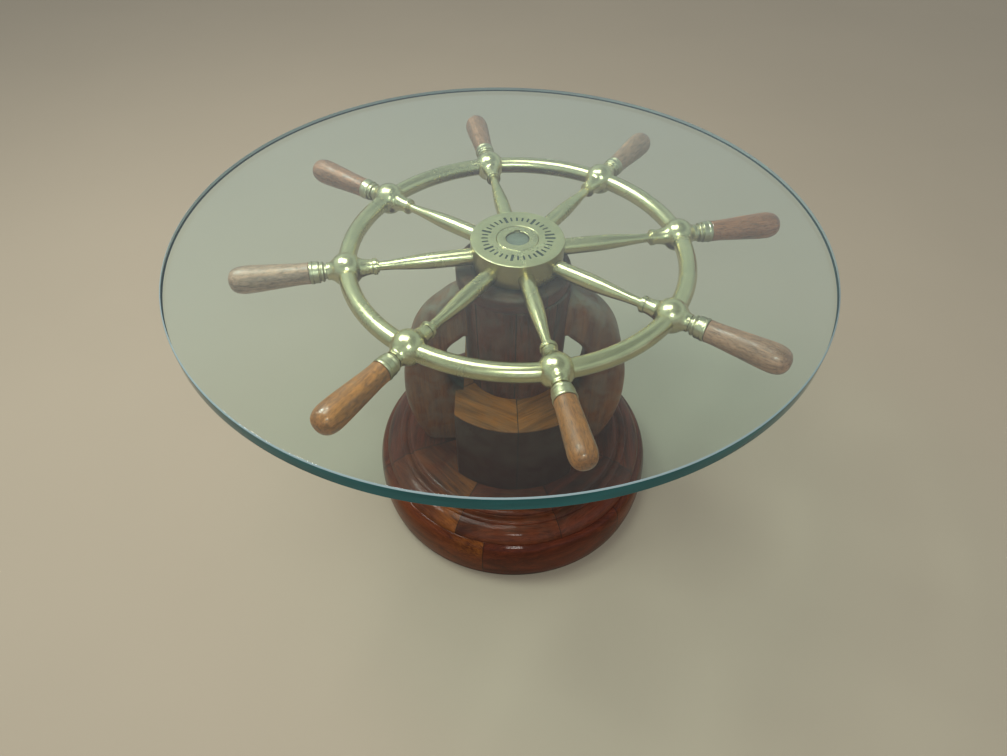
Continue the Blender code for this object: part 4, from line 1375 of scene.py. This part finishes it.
class WHEELTABLE_OT_base(bpy.types.Operator):
    """Foot, moulding and the bolt that holds the pedestal together"""

    bl_idname = "wheel_table.base"
    bl_label = "Base"

    STEPS = 240
    FOOT_TOP_INSET = 0.0140
    FOOT_FLOOR_INSET = 0.0040
    FOOT_SEGMENTS = (6.0, math.radians(-103.0), 17.11)
    MOULDING_SEGMENTS = (8.0, math.radians(-70.8), 7.23)
    MOULDING_DUST = 0.12
    BOLT_STEPS = 48
    BOLT_HEAD = 0.0120
    TIP_EDGE = 0.0015
    TIP_EASE = 0.0004
    NECK_EASE = 0.0003
    HEAD_EDGE = 0.0014
    HEAD_EASE = 0.0006
    # Share of the top inset, share of the foot's height
    BULGE = (
        (0.60, 0.955), (0.36, 0.89), (0.18, 0.79), (0.07, 0.67), (0.01, 0.53),
        (0.0, 0.41), (0.03, 0.28), (0.09, 0.18), (0.2, 0.08),
    )
    # Share of the way out, share of the moulding's height, rounding
    PROFILE = (
        (0.0, 1.0, 0.0006), (0.06, 0.98, 0.0010), (0.11, 0.89, 0.0010),
        (0.13, 0.80, 0.0006), (0.21, 0.80, 0.0006), (0.26, 0.86, 0.0014),
        (0.34, 0.89, 0.0022), (0.43, 0.86, 0.0016), (0.47, 0.78, 0.0010),
        (0.47, 0.71, 0.0004), (0.57, 0.69, 0.0030), (0.77, 0.58, 0.0060),
        (0.93, 0.35, 0.0060), (1.0, 0.08, 0.0016), (1.0, 0.0, 0.0),
    )

    def execute(self, context):
        pedestal = settings().pedestal
        self.foot(pedestal)
        self.moulding(pedestal)
        self.bolt()
        return {"FINISHED"}

    def foot(self, pedestal):
        """Bulging foot with a pocket for the bolt's head."""
        top, radius = FOOT_HIGH.z, pedestal.foot_radius
        side = [(radius - self.FOOT_TOP_INSET, top)]
        side += [(radius - inset * self.FOOT_TOP_INSET, height * top) for inset, height in self.BULGE]
        side += [(radius - self.FOOT_FLOOR_INSET, 0.0)]
        pocket, floor = BOLT_HIGH.x + GAP, self.BOLT_HEAD + GAP
        inside = points([(pocket, 0.0), (pocket, floor), (BOLT_HOLE, floor)])
        mesh = turned(points([(BOLT_HOLE, top)]) + flowing(side) + inside, self.STEPS, closed=True)
        finish = ring_finish("foot wood", pedestal, *self.FOOT_SEGMENTS)
        add_piece("wood_foot", mesh, finish, "pedestal", "base_wood", "pedestal_foot")

    def moulding(self, pedestal):
        """Stepped moulding on the foot."""
        low, rise = MOULDING_LOW.z, MOULDING_HIGH.z - MOULDING_LOW.z
        inner, run = pedestal.moulding_top, pedestal.moulding_radius - pedestal.moulding_top
        corners = [(BOLT_HOLE, low + rise, 0.0)]
        corners += [(inner + out * run, low + up * rise, ease) for out, up, ease in self.PROFILE]
        corners += [(BOLT_HOLE, low, 0.0)]
        mesh = turned(rounded(corners), self.STEPS, closed=True)
        finish = ring_finish("moulding wood", pedestal, *self.MOULDING_SEGMENTS, dust=self.MOULDING_DUST)
        add_piece("wood_moulding", mesh, finish, "pedestal", "base_wood", "base_moulding")

    def bolt(self):
        """Long bolt from the foot's pocket up into the column."""
        shank, tip = BOLT_SHANK, BOLT_HIGH.z
        radius, head = BOLT_HIGH.x, self.BOLT_HEAD
        outline = rounded([
            (0.0, tip, 0.0),
            (shank - self.TIP_EDGE, tip, self.TIP_EASE),
            (shank, tip - self.TIP_EDGE, self.TIP_EASE),
            (shank, head, self.NECK_EASE),
            (radius, head, self.HEAD_EASE),
            (radius, self.HEAD_EDGE, self.HEAD_EASE),
            (radius - self.HEAD_EDGE, 0.0, self.HEAD_EASE),
            (0.0, 0.0, 0.0),
        ])
        mesh = turned(outline, self.BOLT_STEPS)
        add_piece("steel_bolt", mesh, steel(), "pedestal", "steel", "base_bolt")


class WHEELTABLE_OT_post(bpy.types.Operator):
    """Drum with its two flats, the stave column on it, and the cap"""

    bl_idname = "wheel_table.post"
    bl_label = "Drum, Column and Cap"

    STEPS = 192
    DRUM_ARRIS = 0.0020
    DRUM_SEGMENTS = (6.0, math.radians(-89.0), 9.0)
    DRUM_DUST = 0.25
    DRUM_RELIEF = 0.05
    STAVES = 8
    STAVE_TURN = math.radians(-91.5)
    STAVE_SEED = 14.0
    STAVE_GROOVE = 0.0008
    STAVE_HALF = math.radians(0.7)
    COLUMN_EDGE = 0.0020
    COLUMN_EASE = 0.0008
    COLUMN_DUST = 0.75
    COLUMN_GLOSS = 0.35
    BUSH_BORE = 0.0233
    CAP_EASE = 0.0050
    CAP_SEGMENTS = (4.0, math.radians(-60.0), 21.0)
    CAP_DUST = 0.6
    CAP_GLOSS = 0.5

    def execute(self, context):
        pedestal = settings().pedestal
        self.drum(pedestal)
        self.column(pedestal)
        self.cap(pedestal)
        return {"FINISHED"}

    def plan(self, radius, flat):
        """Corner points of the drum seen from above."""
        corners = []
        for step in range(self.STEPS):
            angle = step * FULL_TURN / self.STEPS
            x, y = radius * math.cos(angle), radius * math.sin(angle)
            if abs(x) > flat:
                y = math.copysign(min(abs(y), math.sqrt(radius**2 - flat**2)), y)
                x = math.copysign(flat, x)
            corners.append((x, y))
        return corners

    def drum(self, pedestal):
        """Drum with a rounded upper arris, its rebates and its bolt hole."""
        arris = self.DRUM_ARRIS
        low, high = DRUM_LOW.z, DRUM_HIGH.z
        levels = [(low, 0.0)]
        for step in range(CORNER_STEPS + 1):
            turn = step / CORNER_STEPS * math.pi / 2.0
            levels.append((high - arris + arris * math.sin(turn), arris * (1.0 - math.cos(turn))))
        shape = bmesh.new()
        rings = []
        for place, inset in levels:
            plan = self.plan(pedestal.drum_radius - inset, pedestal.drum_flat - inset)
            rings.append([shape.verts.new((x, y, place)) for x, y in plan])
        for lower, upper in zip(rings, rings[1:]):
            for index in range(self.STEPS):
                following = (index + 1) % self.STEPS
                shape.faces.new((lower[index], lower[following], upper[following], upper[index]))
        shape.faces.new(rings[-1])
        shape.faces.new(list(reversed(rings[0])))
        mesh = finished(shape, "drum")
        far = 2.0 * pedestal.drum_radius
        foot, top = low - far, high + far
        front, rebate = -pedestal.rebate_front, pedestal.drum_rebate
        mesh = carved(mesh, block((rebate, front, foot), (far, far, top)))
        mesh = carved(mesh, block((-far, front, foot), (-rebate, far, top)))
        mesh = carved(mesh, peg(BOLT_HOLE, foot, top, self.STEPS))
        # The drum's finish paints light on its top ledge and shade on its wall
        finish = ring_finish(
            "drum wood", pedestal, *self.DRUM_SEGMENTS,
            dust=self.DRUM_DUST, painted_light_ledge_z=high, relief=self.DRUM_RELIEF,
        )
        add_piece("wood_drum", mesh, finish, "pedestal", "base_wood", "pedestal_drum")

    def column(self, pedestal):
        """Tapered column of staves, bored for spindle, bush and bolt."""
        low, high = COLUMN_LOW.z, COLUMN_HIGH.z
        radius, edge = pedestal.column_radius, self.COLUMN_EDGE
        spindle, spindle_foot = SPINDLE_HIGH.x + GAP, SPINDLE_LOW.z - GAP
        bore, bush_foot = self.BUSH_BORE, BUSH_LOW.z - GAP
        hole, tip = BOLT_HOLE, BOLT_HIGH.z + GAP
        outline = rounded([
            (0.0, spindle_foot, 0.0),
            (spindle, spindle_foot, 0.0),
            (spindle, bush_foot, 0.0),
            (bore, bush_foot, 0.0),
            (bore, high, 0.0),
            (radius - edge, high, self.COLUMN_EASE),
            (radius, high - edge, self.COLUMN_EASE),
            (pedestal.column_foot, low, 0.0),
            (hole, low, 0.0),
            (hole, tip, 0.0),
            (0.0, tip, 0.0),
        ])
        joints = [self.STAVE_TURN + index * FULL_TURN / self.STAVES for index in range(self.STAVES)]
        groove, half_width = self.STAVE_GROOVE, self.STAVE_HALF
        mesh = turned(outline, self.STEPS, joints=joints, groove=groove, half_width=half_width)
        finish = ring_finish(
            "column wood", pedestal, float(self.STAVES), self.STAVE_TURN, self.STAVE_SEED,
            upright=True, dust=self.COLUMN_DUST, gloss=self.COLUMN_GLOSS,
        )
        add_piece("wood_column", mesh, finish, "pedestal", "base_wood", "pedestal_column")

    def cap(self, pedestal):
        """Cap that stands a little off the axis."""
        low, high = CAP_LOW.z, CAP_HIGH.z
        radius, ease = pedestal.cap_radius, self.CAP_EASE
        outline = rounded([(0.0, high, 0.0), (radius, high, ease), (radius, low, ease), (0.0, low, 0.0)])
        mesh = turned(outline, self.STEPS)
        mesh.transform(Matrix.Translation(((CAP_LOW.x + CAP_HIGH.x) / 2.0, 0.0, 0.0)))
        mesh = carved(mesh, peg(self.BUSH_BORE, low - radius, high + radius, self.STEPS))
        finish = ring_finish(
            "cap wood", pedestal, *self.CAP_SEGMENTS, dust=self.CAP_DUST, gloss=self.CAP_GLOSS
        )
        add_piece("wood_cap", mesh, finish, "pedestal", "base_wood", "column_cap")


class WHEELTABLE_OT_arms(bpy.types.Operator):
    """Two arms that stand in the rebates of the drum and lean in to the column"""

    bl_idname = "wheel_table.arms"
    bl_label = "Side Arms"

    ROUND = 0.0160
    ROUND_STEPS = 6
    CURVE_STEPS = 12
    SEAT_STEPS = 144
    MERGE_ROUND = 0.00002
    CLEAR = 0.1
    OVERLAP = 2.5
    REACH = 0.1010
    TOP_DROP = 0.0190
    FOOT_SHARE = 0.10
    EYE_REACH = 0.0290
    EYE_HEIGHT = 0.1230
    EYE_FOOT_UP = 0.1137
    EYE_TOP_SHARE = 0.1
    # Share of the reach, share of the height
    SWEEP = (
        (0.01, 1.0), (0.347, 0.930), (0.673, 0.818), (0.881, 0.649),
        (1.0, 0.410), (0.941, 0.184), (0.743, 0.0), (0.56, -0.10),
    )
    # Share of the eye's reach, share of its height
    EYE = ((0.0, 0.0), (0.62, 0.10), (1.0, 0.40), (0.98, 0.62), (0.86, 0.76))

    def execute(self, context):
        pedestal = settings().pedestal
        finish = arm_finish("arm wood", pedestal)
        mesh = self.arm(pedestal)
        other = mesh.copy()
        other.transform(Matrix.Rotation(math.pi, 4, "Z"))
        add_piece("wood_arm_right", mesh, finish, "pedestal", "base_wood", "side_arm_right")
        add_piece("wood_arm_left", other, finish, "pedestal", "base_wood", "side_arm_left")
        return {"FINISHED"}

    def outline(self, pedestal):
        """Upright outline of an arm as (x, z, kind of handle)."""
        radius = pedestal.column_radius
        inner = radius - self.OVERLAP * self.ROUND
        top, foot = COLUMN_HIGH.z - self.TOP_DROP, DRUM_LOW.z
        height = top - foot
        eye_foot = foot + self.EYE_FOOT_UP
        eye_top = eye_foot + self.EYE_HEIGHT
        sweep = [(radius + out * self.REACH, foot + up * height, "AUTO") for out, up in self.SWEEP]
        wide, tall = self.EYE_REACH, self.EYE_HEIGHT
        eye = [(radius + out * wide, eye_foot + up * tall, "AUTO") for out, up in self.EYE]
        return [
            (inner, top, "VECTOR"),
            *sweep,
            (inner, foot - self.FOOT_SHARE * height, "VECTOR"),
            (inner, eye_foot, "VECTOR"),
            *eye,
            (radius - self.EYE_TOP_SHARE * self.EYE_REACH, eye_top, "VECTOR"),
            (inner, eye_top, "VECTOR"),
        ]

    def blank(self, pedestal):
        """Rounded slab of an arm, before it is fitted."""
        curve = bpy.data.curves.new("arm", "CURVE")
        curve.dimensions = "2D"
        curve.fill_mode = "BOTH"
        curve.extrude = pedestal.arm_thickness / 2.0 - self.ROUND
        curve.bevel_depth = self.ROUND
        curve.bevel_resolution = self.ROUND_STEPS
        curve.offset = -self.ROUND
        curve.resolution_u = self.CURVE_STEPS
        outline = self.outline(pedestal)
        line = curve.splines.new("BEZIER")
        line.use_cyclic_u = True
        line.bezier_points.add(len(outline) - 1)
        for point, (x, z, kind) in zip(line.bezier_points, outline):
            point.co = (x, z, 0.0)
            point.handle_left_type = kind
            point.handle_right_type = kind
        slab = scratch_object(curve)
        slab.rotation_euler = (math.pi / 2.0, 0.0, 0.0)
        shape = bmesh.new()
        shape.from_mesh(taken_off(slab))
        bmesh.ops.remove_doubles(shape, verts=shape.verts, dist=self.MERGE_ROUND)
        return finished(shape, "arm")

    def arm(self, pedestal):
        """Arm cut to fit the column, the moulding and the drum's rebate."""
        far, top = pedestal.foot_radius + self.CLEAR, COLUMN_HIGH.z
        neck, root = pedestal.column_radius + GAP, pedestal.column_foot + GAP
        seat = points([
            (0.0, top + 2.0 * self.CLEAR),
            (neck, top + 2.0 * self.CLEAR),
            (neck, top),
            (root, COLUMN_LOW.z),
            (root, DRUM_LOW.z),
            (far, DRUM_LOW.z),
            (far, -self.CLEAR),
            (0.0, -self.CLEAR),
        ])
        mesh = carved(self.blank(pedestal), turned(seat, self.SEAT_STEPS))
        flat, thick = pedestal.drum_rebate + GAP, pedestal.arm_thickness
        foot, ledge = DRUM_LOW.z - self.CLEAR / 2.0, DRUM_HIGH.z + GAP
        return carved(mesh, block((-flat, -thick, foot), (flat, thick, ledge)))


PIECES = (
    WHEELTABLE_OT_stage,
    WHEELTABLE_OT_base,
    WHEELTABLE_OT_post,
    WHEELTABLE_OT_arms,
    WHEELTABLE_OT_bearing,
    WHEELTABLE_OT_hub,
    WHEELTABLE_OT_spokes,
    WHEELTABLE_OT_rim,
    WHEELTABLE_OT_handles,
    WHEELTABLE_OT_glass,
)


class WHEELTABLE_PT_panel(bpy.types.Panel):
    """Pieces of the table and their settings"""

    bl_idname = "WHEELTABLE_PT_panel"
    bl_label = "Ship Wheel Table"
    bl_space_type = "VIEW_3D"
    bl_region_type = "UI"
    bl_category = "Wheel Table"

    def draw(self, context):
        table = settings()
        for label in ("Glass", "Wheel", "Handles", "Pedestal"):
            group = getattr(table, label.lower())
            box = self.layout.box()
            box.label(text=label)
            for name in group.__annotations__:
                box.prop(group, name)
        for piece in PIECES:
            self.layout.operator(piece.bl_idname)


CLASSES = (
    GlassSettings,
    WheelSettings,
    HandleSettings,
    PedestalSettings,
    TableSettings,
    *PIECES,
    WHEELTABLE_PT_panel,
)


def register():
    """Make the classes and the settings known to Blender."""
    for item in CLASSES:
        bpy.utils.register_class(item)
    bpy.types.Scene.wheel_table = PointerProperty(type=TableSettings)


def unregister():
    """Take the classes and the settings out again."""
    del bpy.types.Scene.wheel_table
    for item in reversed(CLASSES):
        bpy.utils.unregister_class(item)


def main():
    """Make the whole table."""
    register()
    for piece in PIECES:
        group, name = piece.bl_idname.split(".")
        getattr(getattr(bpy.ops, group), name)()


if __name__ == "__main__":
    main()
